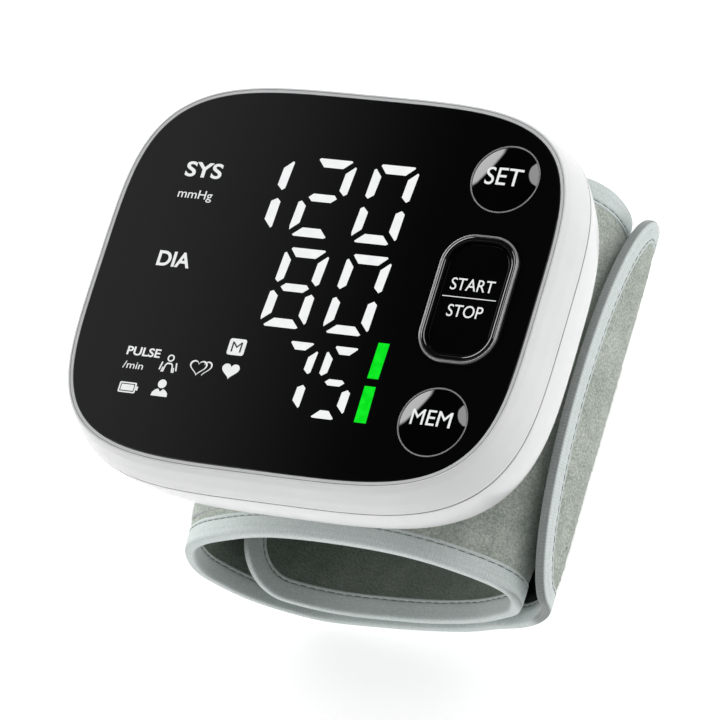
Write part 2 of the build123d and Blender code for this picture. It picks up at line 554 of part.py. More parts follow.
XE = -26.0
flap_in = inward(FLAP_OUT, FLAP_T)
flap_full = strip(FLAP_OUT, flap_in, -STRIP_HALF, STRIP_HALF)
flap = flap_full & flap_shape(STRIP_HALF, XE + 0.5)
keep("cuff_flap", flap)
ga, gb = inward(FLAP_OUT, -BIND_T), inward(FLAP_OUT, FLAP_T + BIND_T)
gfull = strip(ga, gb, -CUFF_HALF, CUFF_HALF) & flap_shape(CUFF_HALF, XE)
gfull = gfull - flap - flap_shape(CUFF_HALF - BIND_W, XE + BIND_W)
keep("cuff_flap_binding", Compound(children=[s for s in gfull.solids() if s.volume > 5]))

# ---------------------------------------------------------------------------
for name, shape in NODES.items():
    export_step(shape, f"parts/{name}.step")
    bb = shape.bounding_box()
    print(f"{name:20s} solids {len(shape.solids())} vol {shape.volume:9.1f} "
          f"x {bb.min.X:6.2f} {bb.max.X:6.2f} y {bb.min.Y:6.2f} {bb.max.Y:6.2f} z {bb.min.Z:6.2f} {bb.max.Z:6.2f}")
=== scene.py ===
import json
import math
import random

import bmesh
import bpy
import numpy as np
from mathutils import Matrix, Vector
from mathutils.geometry import tessellate_polygon

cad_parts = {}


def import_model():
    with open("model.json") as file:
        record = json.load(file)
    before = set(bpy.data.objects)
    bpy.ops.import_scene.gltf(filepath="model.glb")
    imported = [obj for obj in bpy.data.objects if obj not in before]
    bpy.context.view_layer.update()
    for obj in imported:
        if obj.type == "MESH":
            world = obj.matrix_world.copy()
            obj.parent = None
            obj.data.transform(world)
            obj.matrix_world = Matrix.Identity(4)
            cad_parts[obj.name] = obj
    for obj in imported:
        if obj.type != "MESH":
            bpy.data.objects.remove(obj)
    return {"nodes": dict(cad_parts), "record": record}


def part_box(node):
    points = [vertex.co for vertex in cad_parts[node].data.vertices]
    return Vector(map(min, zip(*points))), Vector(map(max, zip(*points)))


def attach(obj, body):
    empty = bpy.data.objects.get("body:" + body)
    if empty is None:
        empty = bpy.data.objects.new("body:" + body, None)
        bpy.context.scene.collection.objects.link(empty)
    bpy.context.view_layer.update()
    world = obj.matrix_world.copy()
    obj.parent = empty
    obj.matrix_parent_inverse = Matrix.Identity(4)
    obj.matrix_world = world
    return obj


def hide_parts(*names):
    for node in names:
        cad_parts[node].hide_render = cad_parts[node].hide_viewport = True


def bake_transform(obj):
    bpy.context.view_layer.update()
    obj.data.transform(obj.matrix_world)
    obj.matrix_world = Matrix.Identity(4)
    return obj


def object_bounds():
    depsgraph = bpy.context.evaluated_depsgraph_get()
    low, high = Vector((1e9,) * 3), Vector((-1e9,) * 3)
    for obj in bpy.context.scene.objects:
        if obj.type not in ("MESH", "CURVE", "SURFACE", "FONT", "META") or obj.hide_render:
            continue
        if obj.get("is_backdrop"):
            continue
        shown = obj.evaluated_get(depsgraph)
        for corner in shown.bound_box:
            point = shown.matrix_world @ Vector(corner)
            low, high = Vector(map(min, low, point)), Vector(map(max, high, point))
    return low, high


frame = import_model()
SIZE_CAD = [list(v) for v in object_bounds()]
NODES = frame["nodes"]
MM = 0.001
rng = np.random.default_rng(7)


# ---------------------------------------------------------------------------
# materials
# ---------------------------------------------------------------------------
def lin(r, g, b):
    """0-255 display values to linear"""
    def f(v):
        v /= 255
        return v / 12.92 if v <= 0.04045 else ((v + 0.055) / 1.055) ** 2.4
    return (f(r), f(g), f(b), 1.0)


def new_mat(name):
    m = bpy.data.materials.new(name)
    m.use_nodes = True
    nt = m.node_tree
    return m, nt, nt.nodes["Principled BSDF"]


def node(nt, kind, **values):
    n = nt.nodes.new(kind)
    for k, v in values.items():
        if k in n.inputs:
            n.inputs[k].default_value = v
        else:
            setattr(n, k, v)
    return n


def noise(nt, scale, detail=2.0, rough=0.5, vector=None):
    n = node(nt, "ShaderNodeTexNoise")
    n.inputs["Scale"].default_value = scale
    n.inputs["Detail"].default_value = detail
    n.inputs["Roughness"].default_value = rough
    if vector is None:
        tc = nt.nodes.get("TC") or nt.nodes.new("ShaderNodeTexCoord")
        tc.name = "TC"
        vector = tc.outputs["Object"]
    nt.links.new(vector, n.inputs["Vector"])
    return n


def ramp(nt, fac, stops):
    r = nt.nodes.new("ShaderNodeValToRGB")
    while len(r.color_ramp.elements) < len(stops):
        r.color_ramp.elements.new(0.5)
    for e, (p, c) in zip(r.color_ramp.elements, stops):
        e.position = p
        e.color = c
    nt.links.new(fac, r.inputs["Fac"])
    return r


def bump(nt, bsdf, height, distance, strength=1.0, normal=None):
    b = nt.nodes.new("ShaderNodeBump")
    b.inputs["Strength"].default_value = strength
    b.inputs["Distance"].default_value = distance
    nt.links.new(height, b.inputs["Height"])
    if normal is not None:
        nt.links.new(normal, b.inputs["Normal"])
    if bsdf is not None:
        nt.links.new(b.outputs["Normal"], bsdf.inputs["Normal"])
    return b


def surface(name, a, b, rough=(0.3, 0.35), metal=0.0, spec=0.5, scale=300.0, bump_mm=0.0, bump_scale=800.0,
            coat=0.0, coat_rough=0.05, sheen=0.0, trans=0.0, sss=0.0):
    """a smooth finish: two close colours and roughness varied by noise"""
    m, nt, p = new_mat(name)
    n = noise(nt, scale, 3.0)
    r = ramp(nt, n.outputs["Fac"], [(0.3, a), (0.7, b)])
    nt.links.new(r.outputs["Color"], p.inputs["Base Color"])
    rr = ramp(nt, n.outputs["Fac"], [(0.3, (rough[0],) * 3 + (1,)), (0.7, (rough[1],) * 3 + (1,))])
    nt.links.new(rr.outputs["Color"], p.inputs["Roughness"])
    p.inputs["Metallic"].default_value = metal
    p.inputs["Specular IOR Level"].default_value = spec
    p.inputs["Coat Weight"].default_value = coat
    p.inputs["Coat Roughness"].default_value = coat_rough
    p.inputs["Sheen Weight"].default_value = sheen
    p.inputs["Transmission Weight"].default_value = trans
    p.inputs["Subsurface Weight"].default_value = sss
    if sss:
        p.inputs["Subsurface Radius"].default_value = (0.0012, 0.0011, 0.001)
        p.inputs["Subsurface Scale"].default_value = 1.0
    if bump_mm:
        bn = noise(nt, bump_scale, 4.0, 0.6)
        bump(nt, p, bn.outputs["Fac"], bump_mm * MM)
    return m


def glow(name, a, b, strength, scale=700.0):
    """a lit mark: emission that wavers slightly over its face"""
    m, nt, p = new_mat(name)
    n = noise(nt, scale, 2.0)
    r = ramp(nt, n.outputs["Fac"], [(0.3, a), (0.7, b)])
    nt.links.new(r.outputs["Color"], p.inputs["Emission Color"])
    p.inputs["Emission Strength"].default_value = strength
    p.inputs["Base Color"].default_value = (0.0, 0.0, 0.0, 1)
    p.inputs["Specular IOR Level"].default_value = 0.0
    p.inputs["Roughness"].default_value = 0.6
    return m


M = {}
def window_black():
    """smoked window: near black, with a painted reflection: a soft grey towards its lower left"""
    m, nt, p = new_mat("window_black")
    tc = nt.nodes.new("ShaderNodeTexCoord")
    sep = nt.nodes.new("ShaderNodeSeparateXYZ")
    nt.links.new(tc.outputs["Object"], sep.inputs[0])
    # painted reflection: the base colour lightens towards -X, standing in for a soft light mirrored in the glass
    sx = node(nt, "ShaderNodeMapRange", interpolation_type="SMOOTHSTEP")
    sx.inputs["From Min"].default_value = 0.022
    sx.inputs["From Max"].default_value = -0.044
    nt.links.new(sep.outputs["X"], sx.inputs["Value"])
    n = noise(nt, 60.0, 2.0)
    mix = node(nt, "ShaderNodeMath", operation="MULTIPLY_ADD")
    mix.inputs[1].default_value = 0.04
    nt.links.new(n.outputs["Fac"], mix.inputs[0])
    nt.links.new(sx.outputs["Result"], mix.inputs[2])
    r = ramp(nt, mix.outputs[0], [(0.0, (0.0022, 0.0022, 0.0023, 1)), (1.0, (0.029, 0.029, 0.0295, 1))])
    nt.links.new(r.outputs["Color"], p.inputs["Base Color"])
    rr = ramp(nt, n.outputs["Fac"], [(0.3, (0.02,) * 3 + (1,)), (0.7, (0.035,) * 3 + (1,))])
    nt.links.new(rr.outputs["Color"], p.inputs["Roughness"])
    p.inputs["Specular IOR Level"].default_value = 0.28
    return m


M["window_black"] = window_black()
M["key_black"] = surface("key_black", (0.0012, 0.0012, 0.0013, 1), (0.0020, 0.0020, 0.0021, 1),
                         rough=(0.02, 0.03), spec=1.0, scale=90, coat=1.0, coat_rough=0.02)
M["start_black"] = surface("start_black", (0.0018, 0.0018, 0.0019, 1), (0.0028, 0.0028, 0.0029, 1),
                           rough=(0.04, 0.06), spec=0.25, scale=90)
M["lit_white"] = glow("lit_white", lin(243, 246, 246), lin(252, 253, 253), 0.96)
M["lit_green"] = glow("lit_green", lin(6, 222, 30), lin(22, 244, 44), 0.98)
M["shell_white"] = surface("shell_white", (0.80, 0.805, 0.81, 1), (0.83, 0.832, 0.835, 1), rough=(0.20, 0.26),
                           spec=0.45, scale=120, bump_mm=0.004, bump_scale=1500, coat=0.15, coat_rough=0.08, sss=0.05)
M["white_plastic"] = surface("white_plastic", (0.72, 0.725, 0.73, 1), (0.76, 0.762, 0.765, 1), rough=(0.35, 0.45),
                             scale=200, bump_mm=0.006)
M["trim_grey"] = surface("trim_grey", (0.62, 0.625, 0.63, 1), (0.68, 0.685, 0.69, 1), rough=(0.22, 0.28),
                         spec=0.5, scale=300, bump_mm=0.002, bump_scale=2500)
M["ring_metal"] = surface("ring_metal", (0.24, 0.24, 0.245, 1), (0.30, 0.30, 0.305, 1), rough=(0.25, 0.35),
                          metal=0.0, spec=0.8, scale=500)
M["bezel_metal"] = surface("bezel_metal", (0.22, 0.22, 0.223, 1), (0.26, 0.26, 0.263, 1), rough=(0.16, 0.22),
                           metal=0.0, spec=1.0, scale=500, coat=0.6, coat_rough=0.08)
M["bezel_black"] = surface("bezel_black", (0.004, 0.004, 0.004, 1), (0.006, 0.006, 0.006, 1), rough=(0.05, 0.08),
                           metal=0.0, spec=1.0, scale=500, coat=1.0, coat_rough=0.04)
M["steel"] = surface("steel", (0.45, 0.45, 0.46, 1), (0.55, 0.55, 0.56, 1), rough=(0.25, 0.35), metal=1.0, scale=900)
M["foam_black"] = surface("foam_black", (0.01, 0.01, 0.01, 1), (0.02, 0.02, 0.02, 1), rough=(0.8, 0.9),
                          bump_mm=0.05, bump_scale=3000)
M["board_green"] = surface("board_green", (0.005, 0.09, 0.03, 1), (0.01, 0.14, 0.045, 1), rough=(0.35, 0.45), scale=150)
M["led_white"] = surface("led_white", (0.7, 0.7, 0.68, 1), (0.78, 0.78, 0.75, 1), rough=(0.4, 0.5))
M["diffuser_film"] = surface("diffuser_film", (0.7, 0.72, 0.74, 1), (0.8, 0.81, 0.82, 1), rough=(0.5, 0.6))
M["component_black"] = surface("component_black", (0.012, 0.012, 0.013, 1), (0.025, 0.025, 0.026, 1), rough=(0.4, 0.55))
M["silicone"] = surface("silicone", (0.42, 0.43, 0.44, 1), (0.5, 0.51, 0.52, 1), rough=(0.45, 0.55), trans=0.15)
M["cell_wrap"] = surface("cell_wrap", (0.05, 0.06, 0.08, 1), (0.09, 0.1, 0.12, 1), rough=(0.25, 0.35), metal=0.6)
M["stiffener_plastic"] = surface("stiffener_plastic", (0.3, 0.31, 0.32, 1), (0.36, 0.37, 0.38, 1), rough=(0.4, 0.5))
M["bladder_film"] = surface("bladder_film", (0.05, 0.05, 0.055, 1), (0.08, 0.08, 0.085, 1), rough=(0.4, 0.5))


def velour(name, dark, light, coarse=2100.0):
    """short-looped fabric: mottled pile with a soft nap"""
    m, nt, p = new_mat(name)
    big = noise(nt, 220.0, 3.0, 0.6)
    mid = noise(nt, coarse, 3.0, 0.6)
    fine = noise(nt, 4600.0, 3.0, 0.7)
    total = node(nt, "ShaderNodeMath", operation="MULTIPLY")
    total.inputs[1].default_value = 0.20
    nt.links.new(big.outputs["Fac"], total.inputs[0])
    for n, share in ((mid, 0.35), (fine, 0.45)):
        step = node(nt, "ShaderNodeMath", operation="MULTIPLY_ADD")
        step.inputs[1].default_value = share
        nt.links.new(n.outputs["Fac"], step.inputs[0])
        nt.links.new(total.outputs[0], step.inputs[2])
        total = step
    r = ramp(nt, total.outputs[0], [(0.38, dark), (0.62, light)])
    nt.links.new(r.outputs["Color"], p.inputs["Base Color"])
    p.inputs["Roughness"].default_value = 0.95
    p.inputs["Specular IOR Level"].default_value = 0.15
    p.inputs["Sheen Weight"].default_value = 0.35
    p.inputs["Sheen Roughness"].default_value = 0.45
    p.inputs["Sheen Tint"].default_value = (0.85, 0.92, 0.86, 1)
    b1 = bump(nt, None, mid.outputs["Fac"], 0.00035, 0.8)
    bump(nt, p, fine.outputs["Fac"], 0.00012, 0.9, normal=b1.outputs["Normal"])
    return m


M["cuff_fabric"] = velour("cuff_fabric", lin(140, 150, 140), lin(224, 230, 221))
# cuff_lining is the same velour made darker for the inner faces: painted shade for the inside of the cuff
M["cuff_lining"] = velour("cuff_lining", lin(92, 102, 92), lin(134, 144, 132))
M["hook_black"] = surface("hook_black", (0.003, 0.003, 0.003, 1), (0.008, 0.008, 0.008, 1), rough=(0.75, 0.9),
                          spec=0.2, scale=2500, bump_mm=0.15, bump_scale=2600)


def tape(name, dark, light):
    """knitted tape: fine ribs across it, with rows along it, laid out by the piece's own UVs (millimetres / 100)"""
    m, nt, p = new_mat(name)
    uv = nt.nodes.new("ShaderNodeUVMap")
    uv.uv_map = "UVMap"
    w1 = node(nt, "ShaderNodeTexWave", wave_type="BANDS", bands_direction="X")
    w1.inputs["Scale"].default_value = 2 * math.pi / (20 * 0.0058)
    w1.inputs["Distortion"].default_value = 0.6
    w1.inputs["Detail"].default_value = 1.0
    w1.inputs["Detail Scale"].default_value = 2.0
    nt.links.new(uv.outputs["UV"], w1.inputs["Vector"])
    w2 = node(nt, "ShaderNodeTexWave", wave_type="BANDS", bands_direction="Y")
    w2.inputs["Scale"].default_value = 2 * math.pi / (20 * 0.0047)
    w2.inputs["Distortion"].default_value = 0.8
    w2.inputs["Detail"].default_value = 1.0
    nt.links.new(uv.outputs["UV"], w2.inputs["Vector"])
    mul = node(nt, "ShaderNodeMath", operation="MULTIPLY")
    nt.links.new(w1.outputs["Fac"], mul.inputs[0])
    nt.links.new(w2.outputs["Fac"], mul.inputs[1])
    n = noise(nt, 2400.0, 3.0, 0.6)
    mix = node(nt, "ShaderNodeMath", operation="MULTIPLY_ADD")
    mix.inputs[1].default_value = 0.30
    nt.links.new(mul.outputs[0], mix.inputs[0])
    nt.links.new(n.outputs["Fac"], mix.inputs[2])
    r = ramp(nt, mix.outputs[0], [(0.25, dark), (0.95, light)])
    # painted shade: the fold at the very edge is darkened in the colour on the standing end
    sep = nt.nodes.new("ShaderNodeSeparateXYZ")
    nt.links.new(uv.outputs["UV"], sep.inputs[0])
    off = node(nt, "ShaderNodeMath", operation="SUBTRACT")
    off.inputs[1].default_value = 0.0625
    nt.links.new(sep.outputs["Y"], off.inputs[0])
    mag = node(nt, "ShaderNodeMath", operation="ABSOLUTE")
    nt.links.new(off.outputs[0], mag.inputs[0])
    edge = node(nt, "ShaderNodeMapRange", interpolation_type="SMOOTHSTEP")
    edge.inputs["From Min"].default_value = 0.023
    edge.inputs["From Max"].default_value = 0.011
    nt.links.new(mag.outputs[0], edge.inputs["Value"])
    tc = nt.nodes.new("ShaderNodeTexCoord")
    pos = nt.nodes.new("ShaderNodeSeparateXYZ")
    nt.links.new(tc.outputs["Object"], pos.inputs[0])
    high = node(nt, "ShaderNodeMapRange", interpolation_type="SMOOTHSTEP")
    high.inputs["From Min"].default_value = 0.005
    high.inputs["From Max"].default_value = 0.017
    nt.links.new(pos.outputs["Z"], high.inputs["Value"])
    far = node(nt, "ShaderNodeMapRange", interpolation_type="SMOOTHSTEP")
    far.inputs["From Min"].default_value = 0.0300
    far.inputs["From Max"].default_value = 0.0335
    nt.links.new(pos.outputs["X"], far.inputs["Value"])
    both = node(nt, "ShaderNodeMath", operation="MULTIPLY")
    nt.links.new(edge.outputs["Result"], both.inputs[0])
    nt.links.new(high.outputs["Result"], both.inputs[1])
    edge_shade_mask = node(nt, "ShaderNodeMath", operation="MULTIPLY")
    nt.links.new(both.outputs[0], edge_shade_mask.inputs[0])
    nt.links.new(far.outputs["Result"], edge_shade_mask.inputs[1])
    # painted shade: the masked edge fold is scaled down to 0.42 of its colour
    shade = node(nt, "ShaderNodeMapRange")
    shade.inputs["To Min"].default_value = 1.0
    shade.inputs["To Max"].default_value = 0.42
    nt.links.new(edge_shade_mask.outputs[0], shade.inputs["Value"])
    shaded_colour = node(nt, "ShaderNodeVectorMath", operation="SCALE")
    nt.links.new(r.outputs["Color"], shaded_colour.inputs[0])
    nt.links.new(shade.outputs["Result"], shaded_colour.inputs["Scale"])
    nt.links.new(shaded_colour.outputs["Vector"], p.inputs["Base Color"])
    p.inputs["Roughness"].default_value = 0.85
    p.inputs["Specular IOR Level"].default_value = 0.2
    p.inputs["Sheen Weight"].default_value = 0.25
    p.inputs["Sheen Roughness"].default_value = 0.4
    b1 = bump(nt, None, n.outputs["Fac"], 0.0001, 0.5)
    bump(nt, p, mul.outputs[0], 0.00006, 0.6, normal=b1.outputs["Normal"])
    return m


M["binding_tape"] = tape("binding_tape", lin(200, 210, 208), lin(233, 239, 238))
M["stitch_thread"] = surface("stitch_thread", lin(104, 114, 112), lin(130, 140, 136), rough=(0.6, 0.8), scale=2000,
                             bump_mm=0.03, bump_scale=6000)
# the printed legends glow: painted light, they give off light of their own
M["legend_white"] = glow("legend_white", lin(238, 240, 240), lin(246, 247, 247), 0.95)
M["legend_dark"] = surface("legend_dark", (0.004, 0.004, 0.004, 1), (0.007, 0.007, 0.007, 1), rough=(0.5, 0.6))
M["highlight_grey"] = surface("highlight_grey", lin(120, 120, 122), lin(140, 140, 142), rough=(0.3, 0.4))

NODE_SLOT = {}
for entry in frame["record"].get("materials", []):
    for n in entry.get("nodes", []):
        NODE_SLOT[n] = entry.get("slot")


def paint(o, m):
    o.data.materials.clear()
    o.data.materials.append(m)


DEFAULT_SLOT = {
    "display_window": "window_black", "digit_segments": "lit_white", "pulse_bars": "lit_green",
    "window_tape": "foam_black", "trim_ring": "trim_grey", "front_shell": "shell_white",
    "rear_shell": "shell_white", "battery_door": "shell_white", "housing_screws": "steel",
    "set_button": "key_black", "mem_button": "key_black", "button_rings": "ring_metal",
    "start_bezel": "bezel_black", "start_stop_button": "start_black", "main_board": "board_green",
    "led_module": "led_white", "display_diffuser": "diffuser_film", "tact_switches": "component_black",
    "board_components": "component_black", "pressure_sensor": "component_black", "air_pump": "steel",
    "air_valve": "component_black", "air_manifold": "silicone", "air_port": "silicone",
    "battery_cells": "cell_wrap", "battery_contacts": "steel", "cuff_plate": "white_plastic",
    "plate_screws": "steel", "cuff_cover": "cuff_fabric", "cuff_lining": "cuff_fabric",
    "cuff_stiffener": "stiffener_plastic", "air_bladder": "bladder_film", "cuff_front_binding": "binding_tape",
    "cuff_tail": "cuff_fabric", "cuff_tail_binding": "binding_tape", "hook_patch": "hook_black",
    "cuff_flap": "cuff_fabric", "cuff_flap_binding": "binding_tape",
}
for name, o in NODES.items():
    paint(o, M[DEFAULT_SLOT.get(name) or NODE_SLOT.get(name)])


# ---------------------------------------------------------------------------
# mesh helpers
# ---------------------------------------------------------------------------
def make_mesh(name, verts, faces, material, smooth=True, uvs=None):
    """verts in millimetres; uvs one pair per vertex"""
    me = bpy.data.meshes.new(name)
    me.from_pydata([tuple(v) for v in np.asarray(verts, float) * MM], [], [tuple(int(i) for i in f) for f in faces])
    me.update()
    bm = bmesh.new()
    bm.from_mesh(me)
    bmesh.ops.recalc_face_normals(bm, faces=bm.faces)
    bm.to_mesh(me)
    bm.free()
    if uvs is not None:
        layer = me.uv_layers.new(name="UVMap")
        idx = np.zeros(len(me.loops), int)
        me.loops.foreach_get("vertex_index", idx)
        layer.data.foreach_set("uv", np.asarray(uvs, np.float32)[idx].ravel())
    if smooth:
        me.polygons.foreach_set("use_smooth", [True] * len(me.polygons))
        if name.startswith("cuff_"):
            # the cut ends stay flat, so that the lengths of the cuff read as one strip
            me.set_sharp_from_angle(angle=math.radians(62))
    me.materials.append(material)
    o = bpy.data.objects.new(name, me)
    bpy.context.scene.collection.objects.link(o)
    return o


def plate(name, shapes, z, thick, material, body):
    """thin raised marks: shapes is a list of [outer loop, hole, ...] in millimetres"""
    verts, faces = [], []
    for loops in shapes:
        loops = [list(l) for l in loops]
        flat = [p for l in loops for p in l]
        base = len(verts)
        n = len(flat)
        zz = z if callable(z) else (lambda x, y: z)
        verts += [(x, y, zz(x, y) + thick) for x, y in flat] + [(x, y, zz(x, y)) for x, y in flat]
        tris = tessellate_polygon([[Vector((x, y, 0)) for x, y in l] for l in loops])
        faces += [(base + a, base + b, base + c) for a, b, c in tris]
        faces += [(base + n + c, base + n + b, base + n + a) for a, b, c in tris]
        k = 0
        for l in loops:
            m = len(l)
            for i in range(m):
                a, b = base + k + i, base + k + (i + 1) % m
                faces.append((a, b, b + n, a + n))
            k += m
    o = make_mesh(name, verts, faces, material, smooth=False)
    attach(o, body)
    return o


def arc(cx, cy, r, a0, a1, n=24):
    return [(cx + r * math.cos(math.radians(a0 + (a1 - a0) * i / n)),
             cy + r * math.sin(math.radians(a0 + (a1 - a0) * i / n))) for i in range(n + 1)]


def rrect(x0, x1, y0, y1, r, n=6):
    return (arc(x1 - r, y1 - r, r, 0, 90, n) + arc(x0 + r, y1 - r, r, 90, 180, n)
            + arc(x0 + r, y0 + r, r, 180, 270, n) + arc(x1 - r, y0 + r, r, 270, 360, n))


def smoothstep(a, b, x):
    t = np.clip((np.asarray(x, float) - a) / (b - a), 0, 1)
    return t * t * (3 - 2 * t)


# ---------------------------------------------------------------------------
# the cuff is one long padded strip, wound round the wrist opening: its standing end on the
# right, along the bottom, round the left bend, over the top under the housing, round the right
# fold and back along the bottom inside. A point on it is (s along, y across, h through).
# ---------------------------------------------------------------------------
FRONT_OUT = [(33.2, 25.6), (32.9, 28.6), (31.0, 32.2), (27.0, 36.0), (21.6, 39.5), (14.6, 42.3), (6.2, 43.8),
             (-2.4, 44.1), (-9.4, 43.1), (-15.8, 40.9), (-21.6, 37.8), (-26.1, 34.6), (-29.6, 30.8), (-31.4, 27.5),
             (-32.4, 24.3)]
FRONT_OUT_UP = [(33.7, 25.8), (34.4, 30.2), (34.3, 34.8), (32.7, 39.2), (28.4, 42.9), (19.5, 44.5), (8.0, 44.8),
                (-2.4, 44.5), (-9.4, 43.3), (-15.8, 41.0)] + FRONT_OUT[10:]
TAIL_OUT = [(-33.0, 21.6), (-33.25, 19.4), (-33.3, 17.2), (-32.9, 14.9), (-31.7, 12.2), (-29.2, 8.1),
            (-25.2, 4.4), (-21.0, 2.1), (-15.7, 0.42), (-9.5, 0.55), (-3.8, 1.25), (3.5, 2.45), (11.0, 4.2),
            (16.7, 6.1), (23.2, 9.4), (28.0, 11.5), (32.0, 14.4), (35.2, 18.1), (37.1, 21.5), (37.9, 24.5),
            (38.1, 27.4), (38.1, 30.5), (38.0, 34), (37.9, 38)]
FLAP_OUT = [(32.6, 23.0), (31.5, 20.9), (29.6, 17.9), (26.6, 15.3), (22.8, 12.6), (18.8, 10.4),
            (12.7, 8.1), (6.8, 6.6), (0.9, 5.7), (-4.8, 5.1), (-10.5, 5.1), (-15.0, 5.9), (-19.0, 7.4),
            (-22.6, 9.6), (-25.6, 12.2), (-27.8, 14.8), (-29.2, 17.2), (-30.0, 19.4)]
HALF = 35.6
TAIL_N = 2.0        # how square the standing end's curve is


def cubic(points, n=3000):
    """natural cubic spline through the points, resampled evenly along its length; returns points, length"""
    p = np.array(points, float)
    d = np.r_[0, np.cumsum(np.sqrt(np.linalg.norm(np.diff(p, axis=0), axis=1)))]
    out = []
    m = len(p)
    h = np.diff(d)
    for k in range(2):
        y = p[:, k]
        A = np.zeros((m, m))
        r = np.zeros(m)
        A[0, 0] = A[-1, -1] = 1
        for i in range(1, m - 1):
            A[i, i - 1], A[i, i], A[i, i + 1] = h[i - 1], 2 * (h[i - 1] + h[i]), h[i]
            r[i] = 6 * ((y[i + 1] - y[i]) / h[i] - (y[i] - y[i - 1]) / h[i - 1])
        c = np.linalg.solve(A, r)
        t = np.linspace(0, d[-1], n)
        i = np.clip(np.searchsorted(d, t) - 1, 0, m - 2)
        a, b = d[i + 1] - t, t - d[i]
        out.append((c[i] * a ** 3 + c[i + 1] * b ** 3) / (6 * h[i]) + (y[i] / h[i] - c[i] * h[i] / 6) * a
                   + (y[i + 1] / h[i] - c[i + 1] * h[i] / 6) * b)
    q = np.stack(out, 1)
    s = np.r_[0, np.cumsum(np.linalg.norm(np.diff(q, axis=0), axis=1))]
    return q, s


def smooth_list(v, k, passes=3):
    ker = np.ones(k) / k
    for _ in range(passes):
        v = np.convolve(np.pad(v, (k // 2, k // 2), mode="edge"), ker, mode="valid")[:len(v)]
    return v


class Path:
    """outer face of the strip at the lower (0) and upper (1) edge, on one common scale of length"""

    def __init__(self):
        low = TAIL_OUT[::-1] + FRONT_OUT[::-1] + FLAP_OUT
        up = TAIL_OUT[::-1] + FRONT_OUT_UP[::-1] + FLAP_OUT
        nt, nf = len(TAIL_OUT), len(FRONT_OUT)
        self.edge = []
        self.L = None
        stations = []
        for pts in (low, up):
            q, s = cubic(pts)
            st = []
            for k in (0, nt - 1, nt + nf - 1, nt + nf, len(pts) - 1):
                st.append(s[np.argmin(np.linalg.norm(q - np.array(pts[k]), axis=1))])
            stations.append(st)
            self.edge.append((q, s))
        # the lower edge's length is the strip's own; the upper one is stretched onto it part by part
        self.st = stations[0]
        self.maps = stations
        self.L = self.edge[0][1][-1]

    def at(self, s, k):
        q, sq = self.edge[k]
        t = np.interp(s, self.maps[0], self.maps[k])
        return np.stack([np.interp(t, sq, q[:, 0]), np.interp(t, sq, q[:, 1])], -1)

    def outer(self, s, y):
        w = (np.asarray(y) + HALF) / (2 * HALF)
        w = np.clip(w, -0.02, 1.02)[..., None]
        w = smoothstep(0, 1, w) * 0.5 + w * 0.5
        return self.at(s, 0) * (1 - w) + self.at(s, 1) * w

    def place(self, s, y, depth):
        """depth is measured inwards from the outer face"""
        s = np.asarray(s, float)
        e = 0.35
        a, b = self.outer(s - e, y), self.outer(s + e, y)
        t = b - a
        t /= np.linalg.norm(t, axis=-1, keepdims=True)
        nrm = np.stack([t[..., 1], -t[..., 0]], -1)      # towards the wrist
        p = self.outer(s, y) + nrm * np.asarray(depth)[..., None]
        return np.stack([p[..., 0], np.broadcast_to(y, p[..., 0].shape), p[..., 1]], -1)


PATH = Path()
S_TAIL, S_LEFT, S_RIGHT, S_FLAP, S_END = 0.0, PATH.st[1], PATH.st[2], PATH.st[3], PATH.L
# cuts between the three pieces, and where the strip ends
CUT_A = S_LEFT + 1.2
CUT_B = S_RIGHT + 1.0


def s_where(pred, lo, hi):
    ss = np.linspace(lo, hi, 4000)
    p = PATH.at(ss, 0)
    ok = pred(p)
    return ss[np.argmax(ok)]


S_TIP = s_where(lambda p: p[:, 1] <= 37.0, 0, 60)                     # top of the standing end
S_DROP = s_where(lambda p: p[:, 1] <= 24.8, 0, 60)                    # where its full width begins
S_FREE = s_where(lambda p: (p[:, 0] <= -27.6), S_FLAP + 20, S_END)    # free edge of the inner flap


def thickness(s):
    s = np.asarray(s, float)
    tail, mid, flap = 1.8, 3.9, 2.2
    a = smoothstep(S_LEFT - 2, S_LEFT + 24, s)
    b = smoothstep(S_RIGHT + 0, S_RIGHT + 9, s)
    return tail + (mid - tail) * a + (flap - mid) * b


# edge outlines (s, y) of each piece
def outline_tail():
    pts = [(s, -HALF) for s in np.linspace(CUT_A, S_DROP, 240)]
    n = TAIL_N
    for a in np.linspace(-math.pi / 2, math.pi / 2, 161)[1:-1]:
        c, sn = math.cos(a), math.sin(a)
        pts.append((S_DROP - (S_DROP - S_TIP) * abs(c) ** (2 / n), HALF * math.copysign(abs(sn) ** (2 / n), sn)))
    pts += [(s, HALF) for s in np.linspace(S_DROP, CUT_A, 240)]
    return np.array(pts)


def outline_flap():
    r = 10.5
    pts = [(s, -HALF) for s in np.linspace(CUT_B, S_FREE - r, 120)]
    pts += [(S_FREE - r + r * math.cos(a), -HALF + r + r * math.sin(a)) for a in np.linspace(-math.pi / 2, 0, 25)[1:]]
    pts += [(S_FREE, y) for y in np.linspace(-HALF + r, HALF - r, 70)[1:-1]]
    pts += [(S_FREE - r + r * math.cos(a), HALF - r + r * math.sin(a)) for a in np.linspace(0, math.pi / 2, 25)]
    pts += [(s, HALF) for s in np.linspace(S_FREE - r, CUT_B, 120)[1:]]
    return np.array(pts)


def outline_front(side):
    return np.array([(s, side * HALF) for s in np.linspace(CUT_A, CUT_B, 260)])


def resample(pts, step):
    d = np.r_[0, np.cumsum(np.linalg.norm(np.diff(pts, axis=0), axis=1))]
    n = max(2, int(d[-1] / step) + 1)
    u = np.linspace(0, d[-1], n)
    return np.stack([np.interp(u, d, pts[:, 0]), np.interp(u, d, pts[:, 1])], 1), u


